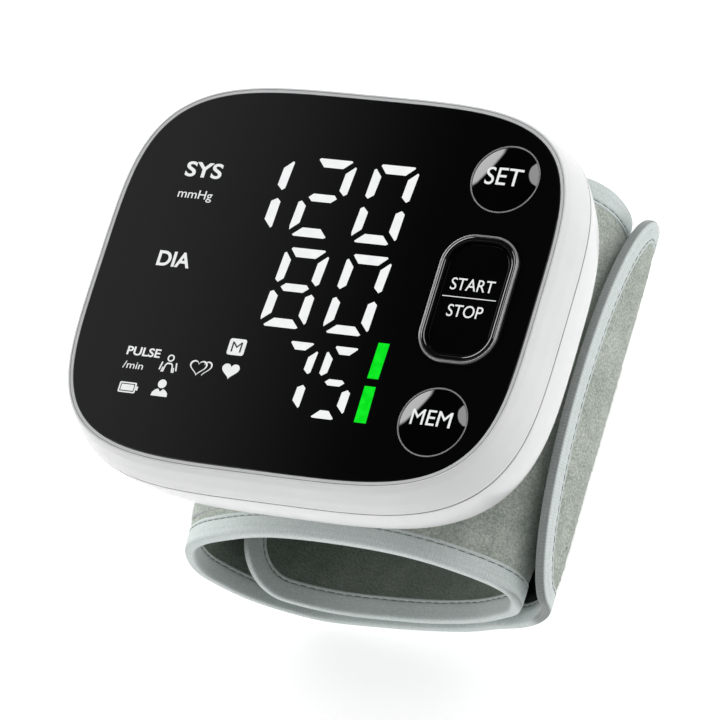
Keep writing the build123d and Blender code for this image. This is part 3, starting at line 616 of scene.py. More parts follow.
def edge_distance(s, y, lines):
    """distance in the strip's own plane to the nearest outline, in millimetres"""
    p = np.stack([s.ravel(), y.ravel()], 1)
    best = np.full(len(p), 1e9)
    for line in lines:
        a, b = line[:-1], line[1:]
        d = b - a
        L2 = (d ** 2).sum(1) + 1e-12
        for i in range(0, len(p), 4000):
            q = p[i:i + 4000]
            t = np.clip(((q[:, None] - a) * d).sum(2) / L2, 0, 1)
            c = a + t[..., None] * d
            best[i:i + 4000] = np.minimum(best[i:i + 4000], np.sqrt(((q[:, None] - c) ** 2).sum(2)).min(1))
    return best.reshape(s.shape)


def value_noise(x, y, seed, cell):
    """smooth noise in the strip's own plane, about -1..1"""
    r = np.random.default_rng(seed)
    g = r.uniform(-1, 1, (256, 256))
    u, v = x / cell + 40.0, y / cell + 40.0
    i, j = np.floor(u).astype(int), np.floor(v).astype(int)
    a, b = u - i, v - j
    a, b = a * a * (3 - 2 * a), b * b * (3 - 2 * b)
    i, j = i % 255, j % 255
    return (g[i, j] * (1 - a) * (1 - b) + g[i + 1, j] * a * (1 - b) + g[i, j + 1] * (1 - a) * b
            + g[i + 1, j + 1] * a * b)


def edge_thick(s):
    """thickness at the very edge, where the tape grips the strip"""
    return 1.15 + 0.25 * (thickness(s) - 1.8)


def edge_share(s):
    """how much of the edge's thinning is taken from the outer face"""
    left = S_LEFT + (S_RIGHT - S_LEFT) * 0.45
    right = S_LEFT + (S_RIGHT - S_LEFT) * 0.80
    inside = smoothstep(S_LEFT - 6, S_LEFT + 6, s)
    base = 0.5 + (0.80 - 0.5) * inside
    return base + (0.25 - base) * smoothstep(left, right, s) * inside + 0.25 * smoothstep(S_FLAP, S_FLAP + 12, s)


def face_depths(s, y, d):
    """depth of the outer and inner face of the padding at distance d from the edge"""
    T = thickness(s)
    pinch = (T - edge_thick(s)) * (1 - smoothstep(1.2, 7.5, d))
    share = edge_share(s)
    puff = 0.05 * value_noise(s, y, 3, 6.0) * smoothstep(3.0, 8.0, d)
    return pinch * share - puff, T - pinch * (1 - share) + puff


def body_piece(name, s0, s1, half, lines, body, step=0.75, open_end=False):
    """the padding of one section: a closed tube whose width follows half(s)"""
    ns = int((s1 - s0) / step) + 1
    ss = np.linspace(s0, s1, ns)
    if half is not None:      # bunch the rows up where the outline turns in
        extra = [v for v in np.linspace(0, 1, 14) ** 2 * 6]
        ss = np.unique(np.r_[ss, [S_TIP + 0.9 + e for e in extra if name == "cuff_wrap_pad"],
                             [s1 - e for e in extra if name == "cuff_flap_pad"]])
        ss = ss[(ss >= s0) & (ss <= s1)]
    ny = 92
    eta = np.sin(np.linspace(-1, 1, ny + 1) * math.pi / 2 * 0.93) / math.sin(math.pi / 2 * 0.93)
    w = (np.full(len(ss), HALF) if half is None else half(ss)) - 0.9
    S, E = np.meshgrid(ss, eta, indexing="ij")
    Y = E * w[:, None]
    D = edge_distance(S, Y, lines)
    out, inn = face_depths(S, Y, D)
    top = PATH.place(S, Y, out)
    bot = PATH.place(S, Y, inn)
    n = ny + 1
    K = 2 * n
    verts = np.concatenate([top, bot[:, ::-1]], 1).reshape(-1, 3)
    uv = np.concatenate([np.stack([S, Y], -1), np.stack([S, Y], -1)[:, ::-1]], 1).reshape(-1, 2) / 100
    faces, kinds = [], []
    for i in range(len(ss) - 1):
        for k in range(K):
            k2 = (k + 1) % K
            faces.append((i * K + k, i * K + k2, (i + 1) * K + k2, (i + 1) * K + k))
            # inner faces take the darker velour: painted shade
            kinds.append(1 if n <= k < K - 1 else 0)
    for i in (0, len(ss) - 1):        # ends
        for k in range(n - 1):
            faces.append((i * K + k, i * K + k + 1, i * K + K - 2 - k, i * K + K - 1 - k))
    o = make_mesh(name, verts, faces, M["cuff_fabric"], uvs=uv)
    o.data.materials.append(M["cuff_lining"])
    kinds += [0] * (len(faces) - len(kinds))
    o.data.polygons.foreach_set("material_index", kinds)
    return o


TAPE = 3.5


def tape_section(te):
    """cross-section of the folded tape on the outer face: (distance from edge, height above the padding's face);
    binding() mirrors it onto the inner face and adds the way round the edge"""
    out = [(TAPE + 0.22, -0.35), (TAPE + 0.05, 0.05), (TAPE - 0.12, 0.22), (TAPE - 0.35, 0.27), (TAPE - 0.48, 0.22),
           (TAPE - 0.60, 0.08), (TAPE - 0.72, 0.23), (TAPE - 1.0, 0.31), (1.9, 0.35), (1.4, 0.36)]
    return out


def binding(name, line, closed=False, step=0.55):
    """the folded tape along an outline, with the stitch line pressed into both faces"""
    pts, u = resample(line, step)
    t = np.gradient(pts, axis=0)
    for _ in range(2):
        t[1:-1] = (t[:-2] + 2 * t[1:-1] + t[2:]) / 4
    t /= np.linalg.norm(t, axis=1, keepdims=True)
    nin = np.stack([-t[:, 1], t[:, 0]], 1)
    # inward side: the outline of every piece runs so that its fabric lies to one side
    mid = pts + nin * 1.0
    probe = inside_sign(line)
    nin *= probe
    sec = tape_section(0)
    rows = []
    uvs = []
    wob = 0.035 * value_noise(u, u * 0, 21, 7.0) + 0.012 * value_noise(u, u * 0, 22, 1.4)
    te = edge_thick(pts[:, 0])
    T = thickness(pts[:, 0])
    mid_d = (face_depths(pts[:, 0], pts[:, 1], np.zeros(len(pts)))[0] + face_depths(pts[:, 0], pts[:, 1], np.zeros(len(pts)))[1]) / 2

    def point(d, depth):
        q = pts + nin * np.asarray(d)[..., None] if np.ndim(d) else pts + nin * d
        return PATH.place(q[:, 0], q[:, 1], depth)

    v = 0.0
    prev = None
    for side in (1, -1):
        items = sec if side == 1 else sec[::-1]
        for d, off in items:
            q = pts + nin * d
            D = np.full(len(q), d)
            o_, i_ = face_depths(q[:, 0], q[:, 1], D)
            # the tape draws the padding in a little along the stitches
            pinch = wob * (0.5 if 2.0 < d < 3.2 else 0.25)
            depth = (o_ - off - pinch) if side == 1 else (i_ + off + pinch)
            rows.append(PATH.place(q[:, 0], q[:, 1], depth))
            if prev is not None:
                v += abs(prev - d) + 0.1
            prev = d
            uvs.append(np.stack([u, np.full(len(u), v)], 1))
        if side == 1:          # round the edge
            dc = 1.1
            for a in np.linspace(82, -82, 15):
                ar = math.radians(a)
                hh = (te / 2 + 0.34) * math.copysign(abs(math.sin(ar)) ** 0.5, ar)
                d = dc - (dc + 0.40) * math.cos(ar) ** 0.36
                q = pts + nin * d
                depth = mid_d - hh
                rows.append(PATH.place(q[:, 0], q[:, 1], depth))
                v += 0.35
                uvs.append(np.stack([u, np.full(len(u), v)], 1))
            prev = None
    R = np.stack(rows, 1)            # (along, round, 3)
    n, k = R.shape[:2]
    verts = R.reshape(-1, 3)
    uv = np.stack(uvs, 1).reshape(-1, 2) / 100
    faces = []
    for i in range(n - 1):
        for j in range(k):
            j2 = (j + 1) % k
            faces.append((i * k + j, i * k + j2, (i + 1) * k + j2, (i + 1) * k + j))
    faces.append(tuple(range(k)))
    faces.append(tuple((n - 1) * k + j for j in range(k))[::-1])
    o = make_mesh(name, verts, faces, M["binding_tape"], uvs=uv)
    return o


def inside_sign(line):
    """+1 if the fabric is to the left of the outline's direction, -1 if to the right"""
    i = len(line) // 3
    t = line[i + 1] - line[i - 1]
    left = np.array([-t[1], t[0]])
    c = np.array([line[:, 0].mean(), 0.0])
    return 1.0 if np.dot(left, c - line[i]) > 0 else -1.0


def dashes(name, line, sides, dist, length=1.5, gap=0.38, radius=0.07, sink=0.07, trim=1.0):
    """stitches: short threads lying in the groove"""
    pts, u = resample(line, 0.2)
    t = np.gradient(pts, axis=0)
    t /= np.linalg.norm(t, axis=1, keepdims=True)
    nin = np.stack([-t[:, 1], t[:, 0]], 1) * inside_sign(line)
    total = u[-1]
    verts, faces = [], []
    m, ring = 7, 6
    pos = trim
    jitter = np.random.default_rng(11)
    while pos + length < total - trim:
        a, b = pos, pos + length * (1 + jitter.uniform(-0.06, 0.06))
        uu = np.linspace(a, b, m)
        ps = np.stack([np.interp(uu, u, pts[:, 0]), np.interp(uu, u, pts[:, 1])], 1)
        nn = np.stack([np.interp(uu, u, nin[:, 0]), np.interp(uu, u, nin[:, 1])], 1)
        d = dist + jitter.uniform(-0.04, 0.04) + np.linspace(-0.03, 0.03, m)
        q = ps + nn * d[:, None]
        for side in sides:
            o_, i_ = face_depths(q[:, 0], q[:, 1], np.full(m, dist))
            arch = np.sin(np.linspace(0, math.pi, m))
            lift = 0.20 + 0.10 * arch - sink
            dep = (o_ - lift) if side == 1 else (i_ + lift)
            c = PATH.place(q[:, 0], q[:, 1], dep)
            tt = np.gradient(c, axis=0)
            tt /= np.linalg.norm(tt, axis=1, keepdims=True)
            side_v = PATH.place(q[:, 0], q[:, 1], dep + 0.2) - c
            side_v /= np.linalg.norm(side_v, axis=1, keepdims=True)
            cross = np.cross(tt, side_v)
            rad = radius * (0.35 + 0.65 * arch ** 0.5)
            base = len(verts)
            for j in range(m):
                for k in range(ring):
                    an = 2 * math.pi * k / ring
                    verts.append(c[j] + rad[j] * (math.cos(an) * side_v[j] + math.sin(an) * cross[j]))
            for j in range(m - 1):
                for k in range(ring):
                    k2 = (k + 1) % ring
                    faces.append((base + j * ring + k, base + j * ring + k2, base + (j + 1) * ring + k2,
                                  base + (j + 1) * ring + k))
            faces.append(tuple(base + k for k in range(ring)))
            faces.append(tuple(base + (m - 1) * ring + k for k in range(ring))[::-1])
        pos = b + gap
    o = make_mesh(name, verts, faces, M["stitch_thread"])
    return o


def tail_half(s):
    n = TAIL_N
    t = np.clip((S_DROP - s) / (S_DROP - S_TIP), 0, 1)
    return HALF * (1 - t ** n) ** (1 / n)


def flap_half(s):
    r = 10.5
    t = np.clip(s - (S_FREE - r), 0, r)
    return HALF - r + np.sqrt(np.maximum(r * r - t * t, 0))


LINE_TAIL, LINE_FLAP = outline_tail(), outline_flap()
LINE_LOW, LINE_UP = outline_front(-1), outline_front(1)
far = np.array([(CUT_A - 400, -HALF), (CUT_B + 400, -HALF)]), np.array([(CUT_A - 400, HALF), (CUT_B + 400, HALF)])

BLEND_TAIL = dict(start=(-0.0337, 0, 0.0250), end=(-0.0310, 0, 0.0190))
BLEND_FLAP = dict(start=(0.0335, 0, 0.0270), end=(0.0300, 0, 0.0205))

front = body_piece("cuff_front_pad", CUT_A, CUT_B, None, far, "housing")
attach(front, "housing")
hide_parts("cuff_cover", "cuff_lining")

tail = body_piece("cuff_wrap_pad", S_TIP + 0.9, CUT_A, tail_half, [LINE_TAIL], "tail")
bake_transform(tail)
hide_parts("cuff_tail")

flap = body_piece("cuff_flap_pad", CUT_B, S_FREE - 0.9, flap_half, [LINE_FLAP], "flap")
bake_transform(flap)
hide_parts("cuff_flap")

b_low = binding("cuff_tape_lower", LINE_LOW)
b_up = binding("cuff_tape_upper", LINE_UP)
for o in (b_low, b_up):
    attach(o, "housing")
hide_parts("cuff_front_binding")
b_tail = binding("cuff_tape_wrap", LINE_TAIL)
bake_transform(b_tail)
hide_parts("cuff_tail_binding")
b_flap = binding("cuff_tape_flap", LINE_FLAP)
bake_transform(b_flap)
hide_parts("cuff_flap_binding")

STITCH = TAPE - 0.60
for nm, line, bodies in (("stitches_lower", LINE_LOW, None), ("stitches_upper", LINE_UP, None),
                         ("stitches_wrap", LINE_TAIL, ("housing", "tail", BLEND_TAIL)),
                         ("stitches_flap", LINE_FLAP, ("housing", "flap", BLEND_FLAP))):
    d = dashes(nm, line, (1, -1), STITCH)
    if bodies is None:
        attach(d, "housing")
    else:
        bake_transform(d)

# pile: short loose fibres standing off the fabric's faces
def fibres(name, s0, s1, half, lines, count_outer, count_inner, seed):
    r = np.random.default_rng(seed)
    verts, faces, kinds = [], [], []
    for side, count in ((1, count_outer), (-1, count_inner)):
        s = r.uniform(s0, s1, count)
        w = (np.full(count, HALF) if half is None else half(s)) - TAPE
        y = r.uniform(-1, 1, count) * HALF
        ok = (np.abs(y) < w)
        s, y = s[ok], y[ok]
        D = edge_distance(s, y, lines)
        ok = D > TAPE + 0.1
        s, y, D = s[ok], y[ok], D[ok]
        o_, i_ = face_depths(s, y, D)
        dep = o_ if side == 1 else i_
        root = PATH.place(s, y, dep + 0.05 * side)
        up = PATH.place(s, y, dep - 0.5 * side) - PATH.place(s, y, dep)
        up /= np.linalg.norm(up, axis=1, keepdims=True)
        tang = PATH.place(s + 0.4, y, dep) - PATH.place(s - 0.4, y, dep)
        tang /= np.linalg.norm(tang, axis=1, keepdims=True)
        cross = np.cross(up, tang)
        n = len(s)
        an = r.uniform(0, 2 * math.pi, n)
        lean = r.uniform(0.1, 1.1, n)[:, None]
        side_dir = np.cos(an)[:, None] * tang + np.sin(an)[:, None] * cross
        perp = -np.sin(an)[:, None] * tang + np.cos(an)[:, None] * cross
        length = (0.16 + 0.42 * r.beta(1.6, 3.0, n))[:, None]
        mid = root + length * 0.55 * (up + 0.5 * lean * side_dir)
        tip = root + length * (up + 1.1 * lean * side_dir) / np.sqrt(1 + lean ** 2)
        rad = r.uniform(0.022, 0.036, n)[:, None]
        a = np.stack([root + rad * perp, root - rad * perp, root + rad * side_dir,
                      mid + rad * 0.8 * perp, mid - rad * 0.8 * perp, mid + rad * 0.8 * up, tip], 1)
        base = sum(len(v) for v in verts)
        verts.append(a.reshape(-1, 3))
        k = base + 7 * np.arange(n)[:, None]
        for f in ((0, 1, 4, 3), (1, 2, 5, 4), (2, 0, 3, 5)):
            faces += (k + np.array(f)).tolist()
        for f in ((3, 4, 6), (4, 5, 6), (5, 3, 6), (0, 2, 1)):
            faces += (k + np.array(f)).tolist()
        # fibres on the inner face take the darker velour: painted shade
        kinds += [0 if side == 1 else 1] * (len(faces) - len(kinds))
    o = make_mesh(name, np.concatenate(verts), faces, M["cuff_fabric"])
    o.data.materials.append(M["cuff_lining"])
    o.data.polygons.foreach_set("material_index", kinds)
    return o


f = fibres("pile_front", CUT_A, CUT_B, None, far, 16000, 9000, 31)
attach(f, "housing")
f = fibres("pile_wrap", S_TIP + 0.5, CUT_A, tail_half, [LINE_TAIL], 34000, 6000, 32)
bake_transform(f)
f = fibres("pile_flap", CUT_B, S_FREE - 0.5, flap_half, [LINE_FLAP], 3000, 12000, 33)
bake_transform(f)

# hook patch on the inner face of the standing end
HOOK_LO, HOOK_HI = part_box("hook_patch")


def hook_mesh():
    p = PATH.at(np.linspace(S_DROP - 4, CUT_A, 3000), 0)
    ss = np.linspace(S_DROP - 4, CUT_A, 3000)
    inner = PATH.place(ss, np.zeros(3000), thickness(ss))
    ok = (inner[:, 2] >= HOOK_LO.z / MM + 0.2) & (inner[:, 2] <= HOOK_HI.z / MM - 0.2) & (inner[:, 0] > 15)
    s0, s1 = ss[ok][0], ss[ok][-1]
    y0, y1 = HOOK_LO.y / MM - 0.95, HOOK_HI.y / MM + 0.95
    ns, ny = int((s1 - s0) / 0.5), int((y1 - y0) / 0.6)
    S, Y = np.meshgrid(np.linspace(s0, s1, ns), np.linspace(y0, y1, ny), indexing="ij")
    T = thickness(S)
    h = 0.75 + 0.06 * value_noise(S, Y, 5, 0.7)
    rim = np.minimum(np.minimum(S - s0, s1 - S), np.minimum(Y - y0, y1 - Y))
    h = h * smoothstep(-0.3, 0.5, rim)
    top = PATH.place(S, Y, T + h)
    bot = PATH.place(S, Y, T - 0.4)
    verts = np.concatenate([top.reshape(-1, 3), bot.reshape(-1, 3)])
    n = ns * ny
    faces = []
    for i in range(ns - 1):
        for j in range(ny - 1):
            a = i * ny + j
            faces.append((a, a + 1, a + ny + 1, a + ny))
            faces.append((a + n, a + ny + n, a + ny + 1 + n, a + 1 + n))
    border = ([(i * ny, (i + 1) * ny) for i in range(ns - 1)]
              + [((ns - 1) * ny + j, (ns - 1) * ny + j + 1) for j in range(ny - 1)]
              + [((i + 1) * ny + ny - 1, i * ny + ny - 1) for i in range(ns - 1)]
              + [(j + 1, j) for j in range(ny - 1)])
    for a, b in border:
        faces.append((a, b, b + n, a + n))
    o = make_mesh("hook_pad", verts, faces, M["hook_black"])
    return o


hook = hook_mesh()
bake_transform(hook)
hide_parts("hook_patch")

# ---------------------------------------------------------------------------
# dark parting line between the front and rear shells, sunk in the groove
# ---------------------------------------------------------------------------
def shell_ring(off, z, n=360, a=40.71, b=34.50, e=4.08):
    pts = []
    for k in range(n):
        t = 2 * math.pi * k / n
        c, s = math.cos(t), math.sin(t)
        r = (abs(c / a) ** e + abs(s / b) ** e) ** (-1 / e)
        x, y = r * c, r * s
        gx = math.copysign(abs(x / a) ** (e - 1) / a, x)
        gy = math.copysign(abs(y / b) ** (e - 1) / b, y)
        g = math.hypot(gx, gy)
        pts.append((x + off * gx / g, y + off * gy / g, z))
    return np.array(pts)


def ring_tube(name, centre, half_w, half_h, material, body="housing", k=8):
    n = len(centre)
    t = np.roll(centre, -1, 0) - np.roll(centre, 1, 0)
    t /= np.linalg.norm(t, axis=1, keepdims=True)
    out = np.cross(t, np.array([0, 0, 1.0]))
    verts = []
    for i in range(n):
        for j in range(k):
            an = 2 * math.pi * (j + 0.5) / k
            verts.append(centre[i] + out[i] * half_w * math.cos(an) + np.array([0, 0, half_h * math.sin(an)]))
    faces = [(i * k + j, i * k + (j + 1) % k, ((i + 1) % n) * k + (j + 1) % k, ((i + 1) % n) * k + j)
             for i in range(n) for j in range(k)]
    o = make_mesh(name, verts, faces, material)
    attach(o, body)
    return o


M["parting_grey"] = surface("parting_grey", lin(96, 98, 100), lin(120, 122, 124), rough=(0.6, 0.7), scale=400)
ring_tube("shell_parting", shell_ring(2.53, 59.25), 0.10, 0.09, M["parting_grey"])
ring_tube("trim_parting", shell_ring(0.60, 66.90), 0.05, 0.06, M["parting_grey"])
ring_tube("shell_lip", shell_ring(0.83, 66.74), 0.22, 0.20, M["shell_white"])


def pill_ring(w, h, r, z, cx=28.87, step=3.0):
    """points round a rounded rectangle, anticlockwise"""
    pts = []
    for qx, qy, a0 in ((1, 1, 0), (-1, 1, 90), (-1, -1, 180), (1, -1, 270)):
        for a in np.arange(a0, a0 + 90.001, step):
            pts.append((cx + qx * (w / 2 - r) + r * math.cos(math.radians(a)),
                        qy * (h / 2 - r) + r * math.sin(math.radians(a)), z))
    out = []
    for i, p in enumerate(pts):
        q = pts[(i + 1) % len(pts)]
        gap = math.dist(p, q)
        k = max(1, int(gap / 0.8))
        out += [tuple(p[j] + (q[j] - p[j]) * m / k for j in range(3)) for m in range(k)]
    return np.array(out)


BEZEL_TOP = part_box("start_bezel")[1].z / MM
ring_tube("bezel_rim", pill_ring(13.75, 22.85, 5.33, BEZEL_TOP - 0.28), 0.24, 0.32, M["bezel_metal"], k=16)
ring_tube("bezel_band", pill_ring(12.60, 21.70, 4.80, BEZEL_TOP - 0.36), 0.56, 0.42, M["bezel_black"], k=24)

# ---------------------------------------------------------------------------
# printed marks
# ---------------------------------------------------------------------------
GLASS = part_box("display_window")[1].z / MM
LEGEND_Z, LEGEND_T = GLASS - 0.005, 0.03


def text(name, body_text, x0, x1, y0, y1, weight, z, thick, body, slot="legend_white", material=None):
    """a legend in the plain built-in face, fitted to a box"""
    cu = bpy.data.curves.new(name, "FONT")
    cu.body = body_text
    cu.size = 0.01
    cu.offset = weight
    cu.resolution_u = 6
    cu.fill_mode = "FRONT"
    tmp = bpy.data.objects.new(name + "_src", cu)
    bpy.context.scene.collection.objects.link(tmp)
    bpy.context.view_layer.update()
    dg = bpy.context.evaluated_depsgraph_get()
    me = bpy.data.meshes.new_from_object(tmp.evaluated_get(dg))
    bpy.data.objects.remove(tmp)
    co = np.array([v.co for v in me.vertices], float)[:, :2]
    lo, hi = co.min(0), co.max(0)
    bm = bmesh.new()
    bm.from_mesh(me)
    bmesh.ops.remove_doubles(bm, verts=bm.verts, dist=1e-7)
    sx, sy = (x1 - x0) / (hi[0] - lo[0]), (y1 - y0) / (hi[1] - lo[1])
    zf = z if callable(z) else (lambda x, y: z)
    if callable(z):
        for _ in range(4):
            bmesh.ops.triangulate(bm, faces=list(bm.faces))
            long = [e for e in bm.edges if abs((e.verts[0].co - e.verts[1].co).x) * sx > 0.35
                    or abs((e.verts[0].co - e.verts[1].co).y) * sy > 0.35]
            if not long:
                break
            bmesh.ops.subdivide_edges(bm, edges=long, cuts=1)
    for v in bm.verts:
        x = x0 + (v.co.x - lo[0]) * sx
        y = y0 + (v.co.y - lo[1]) * sy
        v.co = Vector((x, y, zf(x, y) + thick)) * MM
    g = bmesh.ops.extrude_face_region(bm, geom=list(bm.faces))
    for v in [e for e in g["geom"] if isinstance(e, bmesh.types.BMVert)]:
        v.co.z -= thick * MM
    bmesh.ops.recalc_face_normals(bm, faces=bm.faces)
    out = bpy.data.meshes.new(name)
    bm.to_mesh(out)
    bm.free()
    bpy.data.meshes.remove(me)
    out.materials.append(material or M["legend_white"])
    o = bpy.data.objects.new(name, out)
    bpy.context.scene.collection.objects.link(o)
    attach(o, body)
    return o


text("legend_sys", "SYS", -30.38, -23.38, 17.0, 19.88, 0.00022, LEGEND_Z, LEGEND_T, "housing")
text("legend_mmhg", "mmHg", -30.38, -23.81, 12.5, 14.6, 0.0, LEGEND_Z, LEGEND_T, "housing")
text("legend_dia", "DIA", -30.31, -24.0, 0.06, 2.88, 0.00022, LEGEND_Z, LEGEND_T, "housing")
text("legend_pulse", "PULSE", -30.44, -24.06, -16.75, -15.15, 0.0002, LEGEND_Z, LEGEND_T, "housing")
text("legend_min", "/min", -30.4, -26.56, -19.2, -17.9, 0.0, LEGEND_Z, LEGEND_T, "housing")


def ball(cx, cy, r, n=24):
    return arc(cx, cy, r, 0, 360 * (n - 1) / n, n - 1)


def heart(x0, x1, y0, y1, k=1.0, n=48):
    """a heart in a box, scaled about its middle by k"""
    pts = []
    for i in range(n):
        t = 2 * math.pi * i / n
        x = 16 * math.sin(t) ** 3
        y = 13 * math.cos(t) - 5 * math.cos(2 * t) - 2 * math.cos(3 * t) - math.cos(4 * t)
        pts.append((x, y))
    xs, ys = [p[0] for p in pts], [p[1] for p in pts]
    cx, cy = (x0 + x1) / 2, (y0 + y1) / 2
    w, h = (x1 - x0) / (max(xs) - min(xs)), (y1 - y0) / (max(ys) - min(ys))
    my = (max(ys) + min(ys)) / 2
    return [(cx + (x * w) * k, cy + ((y - my) * h) * k) for x, y in pts]


def ring_of(loop, inner):
    return [loop, inner[::-1]]


icons = []
# battery outline with its level
icons.append([rrect(-29.88, -26.62, -23.62, -21.69, 0.25), rrect(-29.62, -26.88, -23.38, -21.93, 0.12)[::-1]])
icons.append([rrect(-29.45, -27.05, -23.2, -22.1, 0.08)])
icons.append([rrect(-26.58, -26.25, -23.05, -22.3, 0.1)])
# user
icons.append([ball(-21.97, -21.28, 0.80)])
icons.append([[(-23.5, -23.56), (-20.44, -23.56), (-20.5, -22.95), (-20.95, -22.45), (-21.5, -22.2),
               (-21.97, -22.75), (-22.44, -22.2), (-23.0, -22.45), (-23.42, -22.95)]])
# person with shake marks
icons.append([ball(-21.84, -16.5, 0.66), ball(-21.84, -16.5, 0.42)[::-1]])
icons.append([[(-22.85, -19.1), (-22.6, -17.75), (-22.25, -17.35), (-21.43, -17.35), (-21.08, -17.75),
               (-20.83, -19.1), (-21.1, -19.1), (-21.3, -17.85), (-21.55, -17.62), (-22.13, -17.62),
               (-22.38, -17.85), (-22.58, -19.1)]])
icons.append([[(-23.56, -18.75), (-23.3, -17.3), (-23.05, -17.3), (-23.3, -18.75)]])
icons.append([[(-20.12, -18.75), (-20.38, -17.3), (-20.63, -17.3), (-20.38, -18.75)]])
icons.append([[(-23.1, -19.1), (-22.95, -18.2), (-22.75, -18.2), (-22.9, -19.1)]])
icons.append([[(-20.58, -19.1), (-20.73, -18.2), (-20.93, -18.2), (-20.78, -19.1)]])
plate("icons_left", icons, LEGEND_Z, LEGEND_T, M["legend_white"], "housing")


def outline_heart(x0, x1, y0, y1, w=0.24):
    cx, cy = (x0 + x1) / 2, (y0 + y1) / 2
    k = 1 - 2 * w / min(x1 - x0, y1 - y0)
    return [heart(x0, x1, y0, y1), heart(x0, x1, y0, y1, k)[::-1]]


def half_heart():
    """the part of a second heart outline that shows beside the first"""
    a = heart(-16.9, -13.75, -19.1, -16.3)
    b = heart(-16.9, -13.75, -19.1, -16.3, 0.84)
    n = len(a)
    k = int(n * 0.53)
    return [a[:k] + b[:k][::-1]]


plate("icon_heart_pair", [outline_heart(-18.0, -14.7, -19.12, -16.31), half_heart()], LEGEND_Z, LEGEND_T,
      M["legend_white"], "housing")
plate("icon_heart", [[heart(-11.88, -8.62, -19.06, -16.25)]], LEGEND_Z, LEGEND_T, M["legend_white"], "housing")
plate("icon_m_box", [[rrect(-12.0, -8.81, -14.62, -11.62, 0.45)]], LEGEND_Z, LEGEND_T, M["legend_white"], "housing")
text("legend_m", "M", -11.35, -9.45, -14.05, -12.2, 0.0, LEGEND_Z + LEGEND_T - 0.002, 0.012, "housing",
     material=M["legend_dark"])

# marks on the keys: they follow the keys' own top surfaces
bpy.context.view_layer.update()


def surface_height(node_name):
    """height of a CAD node's top at (x, y), by casting a ray down onto it"""
    o = NODES[node_name]
    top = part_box(node_name)[1].z + 0.01

    def f(x, y):
        hit, loc, nrm, idx = o.ray_cast(Vector((x * MM, y * MM, top)), Vector((0, 0, -1)))
        return (loc.z / MM) if hit else (top - 0.01) / MM
    return f


SET_Z, MEM_Z, START_Z = (surface_height(n) for n in ("set_button", "mem_button", "start_stop_button"))
# the key legends glow too: painted light
text("legend_set", "SET", 25.4, 32.06, 20.88, 24.12, 0.0, SET_Z, 0.045, "set_key")
text("legend_mem", "MEM", 25.0, 32.31, -23.12, -20.38, 0.0, MEM_Z, 0.045, "mem_key")
text("legend_start", "START", 24.81, 32.75, 1.50, 3.69, 0.0, START_Z, 0.03, "start_key")
text("legend_stop", "STOP", 25.56, 32.0, -3.31, -1.12, 0.0, START_Z, 0.03, "start_key")
plate("start_divider", [[[(23.9, 0.19), (33.7, 0.19), (33.7, 0.32), (23.9, 0.32)]]], START_Z, 0.03,
      M["legend_white"], "start_key")

# ---------------------------------------------------------------------------
# floor, light, camera
# ---------------------------------------------------------------------------
def floor():
    me = bpy.data.meshes.new("floor")
    r = 1.6
    me.from_pydata([(-r, -r, -0.0002), (r, -r, -0.0002), (r, r, -0.0002), (-r, r, -0.0002)], [], [(0, 1, 2, 3)])
    m, nt, p = new_mat("floor_paper")
    n = noise(nt, 6.0, 2.0)
    rr = ramp(nt, n.outputs["Fac"], [(0.3, (0.84, 0.84, 0.84, 1)), (0.7, (0.86, 0.86, 0.86, 1))])
    nt.links.new(rr.outputs["Color"], p.inputs["Base Color"])
    p.inputs["Roughness"].default_value = 0.9
    p.inputs["Specular IOR Level"].default_value = 0.0
    p.inputs["Emission Color"].default_value = (1, 1, 1, 1)
    p.inputs["Emission Strength"].default_value = 0.56
    me.materials.append(m)
    o = bpy.data.objects.new("floor", me)
    bpy.context.scene.collection.objects.link(o)
    o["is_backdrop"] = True
    return o


floor()


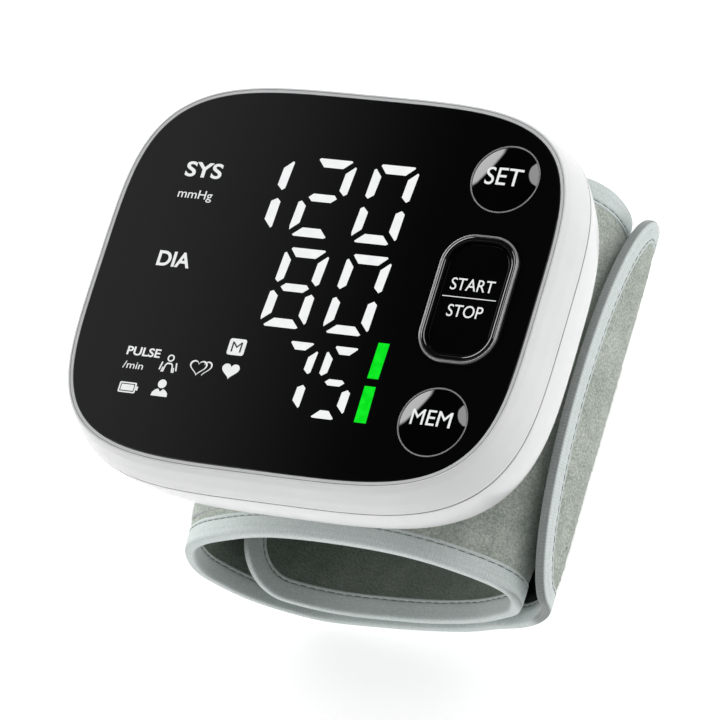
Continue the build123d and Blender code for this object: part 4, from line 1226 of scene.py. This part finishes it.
def world():
    w = bpy.data.worlds.new("studio")
    bpy.context.scene.world = w
    w.use_nodes = True
    nt = w.node_tree
    bg = nt.nodes["Background"]
    tc = nt.nodes.new("ShaderNodeTexCoord")
    norm = node(nt, "ShaderNodeVectorMath", operation="NORMALIZE")
    nt.links.new(tc.outputs["Generated"], norm.inputs[0])

    def cone(direction, a0, a1, v0, v1):
        """v0 inside a0 degrees of the direction, v1 outside a1"""
        dot = node(nt, "ShaderNodeVectorMath", operation="DOT_PRODUCT")
        dot.inputs[1].default_value = Vector(direction).normalized()
        nt.links.new(norm.outputs["Vector"], dot.inputs[0])
        mr = node(nt, "ShaderNodeMapRange", interpolation_type="SMOOTHSTEP")
        mr.inputs["From Min"].default_value = math.cos(math.radians(a1))
        mr.inputs["From Max"].default_value = math.cos(math.radians(a0))
        mr.inputs["To Min"].default_value = v1
        mr.inputs["To Max"].default_value = v0
        nt.links.new(dot.outputs["Value"], mr.inputs["Value"])
        return mr.outputs["Result"]

    def join(op, a, b):
        m = node(nt, "ShaderNodeMath", operation=op)
        nt.links.new(a, m.inputs[0])
        nt.links.new(b, m.inputs[1])
        return m.outputs[0]

    sep = nt.nodes.new("ShaderNodeSeparateXYZ")
    nt.links.new(norm.outputs["Vector"], sep.inputs[0])
    tent = node(nt, "ShaderNodeMapRange")
    tent.inputs["From Min"].default_value = -0.1
    tent.inputs["From Max"].default_value = 0.9
    tent.inputs["To Min"].default_value = 0.56
    tent.inputs["To Max"].default_value = 0.72
    nt.links.new(sep.outputs["Z"], tent.inputs["Value"])
    # a dark flag opposite the camera keeps the display and the key caps black
    flag = cone((-0.35, 0.35, 0.87), 37.5, 42.0, 0.002, 1.0)
    near = cone((0.64, -0.70, 0.30), 26.0, 58.0, 0.02, 1.0)
    level = join("MULTIPLY", join("MULTIPLY", tent.outputs["Result"], flag), near)
    # softboxes: a large one at the far left, a small tall one behind
    big = cone((-0.80, 0.53, 0.28), 22.5, 25.5, 3.4, 0.0)
    small = cone((0.10, 0.52, 0.85), 14.0, 14.8, 2.3, 0.0)
    level = join("ADD", join("ADD", level, big), small)
    nt.links.new(level, bg.inputs["Strength"])
    bg.inputs["Color"].default_value = (1, 1, 1, 1)


world()


def area(name, loc, target, size, power, size_y=None):
    l = bpy.data.lights.new(name, "AREA")
    l.energy = power
    l.size = size
    if size_y:
        l.shape = "RECTANGLE"
        l.size_y = size_y
    o = bpy.data.objects.new(name, l)
    o.location = loc
    o.rotation_euler = (Vector(target) - Vector(loc)).to_track_quat("-Z", "Y").to_euler()
    bpy.context.scene.collection.objects.link(o)
    return o


area("key", (0.62, 0.36, 0.60), (0, 0, 0.04), 0.5, 1.9)
area("fill", (-0.62, -0.68, 0.42), (0, 0, 0.03), 0.5, 1.62)

cam = bpy.data.cameras.new("camera")
cam.sensor_width = 36
cam.lens = 272.92
cam.clip_start = 0.05
cam.clip_end = 10
co = bpy.data.objects.new("camera", cam)
X = Vector((0.887877, 0.275647, -0.368366)).normalized()
Z = Vector((0.448129, -0.336824, 0.828088)).normalized()
Y = Z.cross(X).normalized()
X = Y.cross(Z).normalized()
R = Matrix((X, Y, Z)).transposed().to_4x4()
co.matrix_world = Matrix.Translation((0.415956, -0.315991, 0.812283)) @ R
bpy.context.scene.collection.objects.link(co)
bpy.context.scene.camera = co
bpy.context.scene.view_settings.view_transform = "Standard"

SIZE_NOW = [list(v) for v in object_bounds()]
print("size cad", SIZE_CAD, "visual", SIZE_NOW)
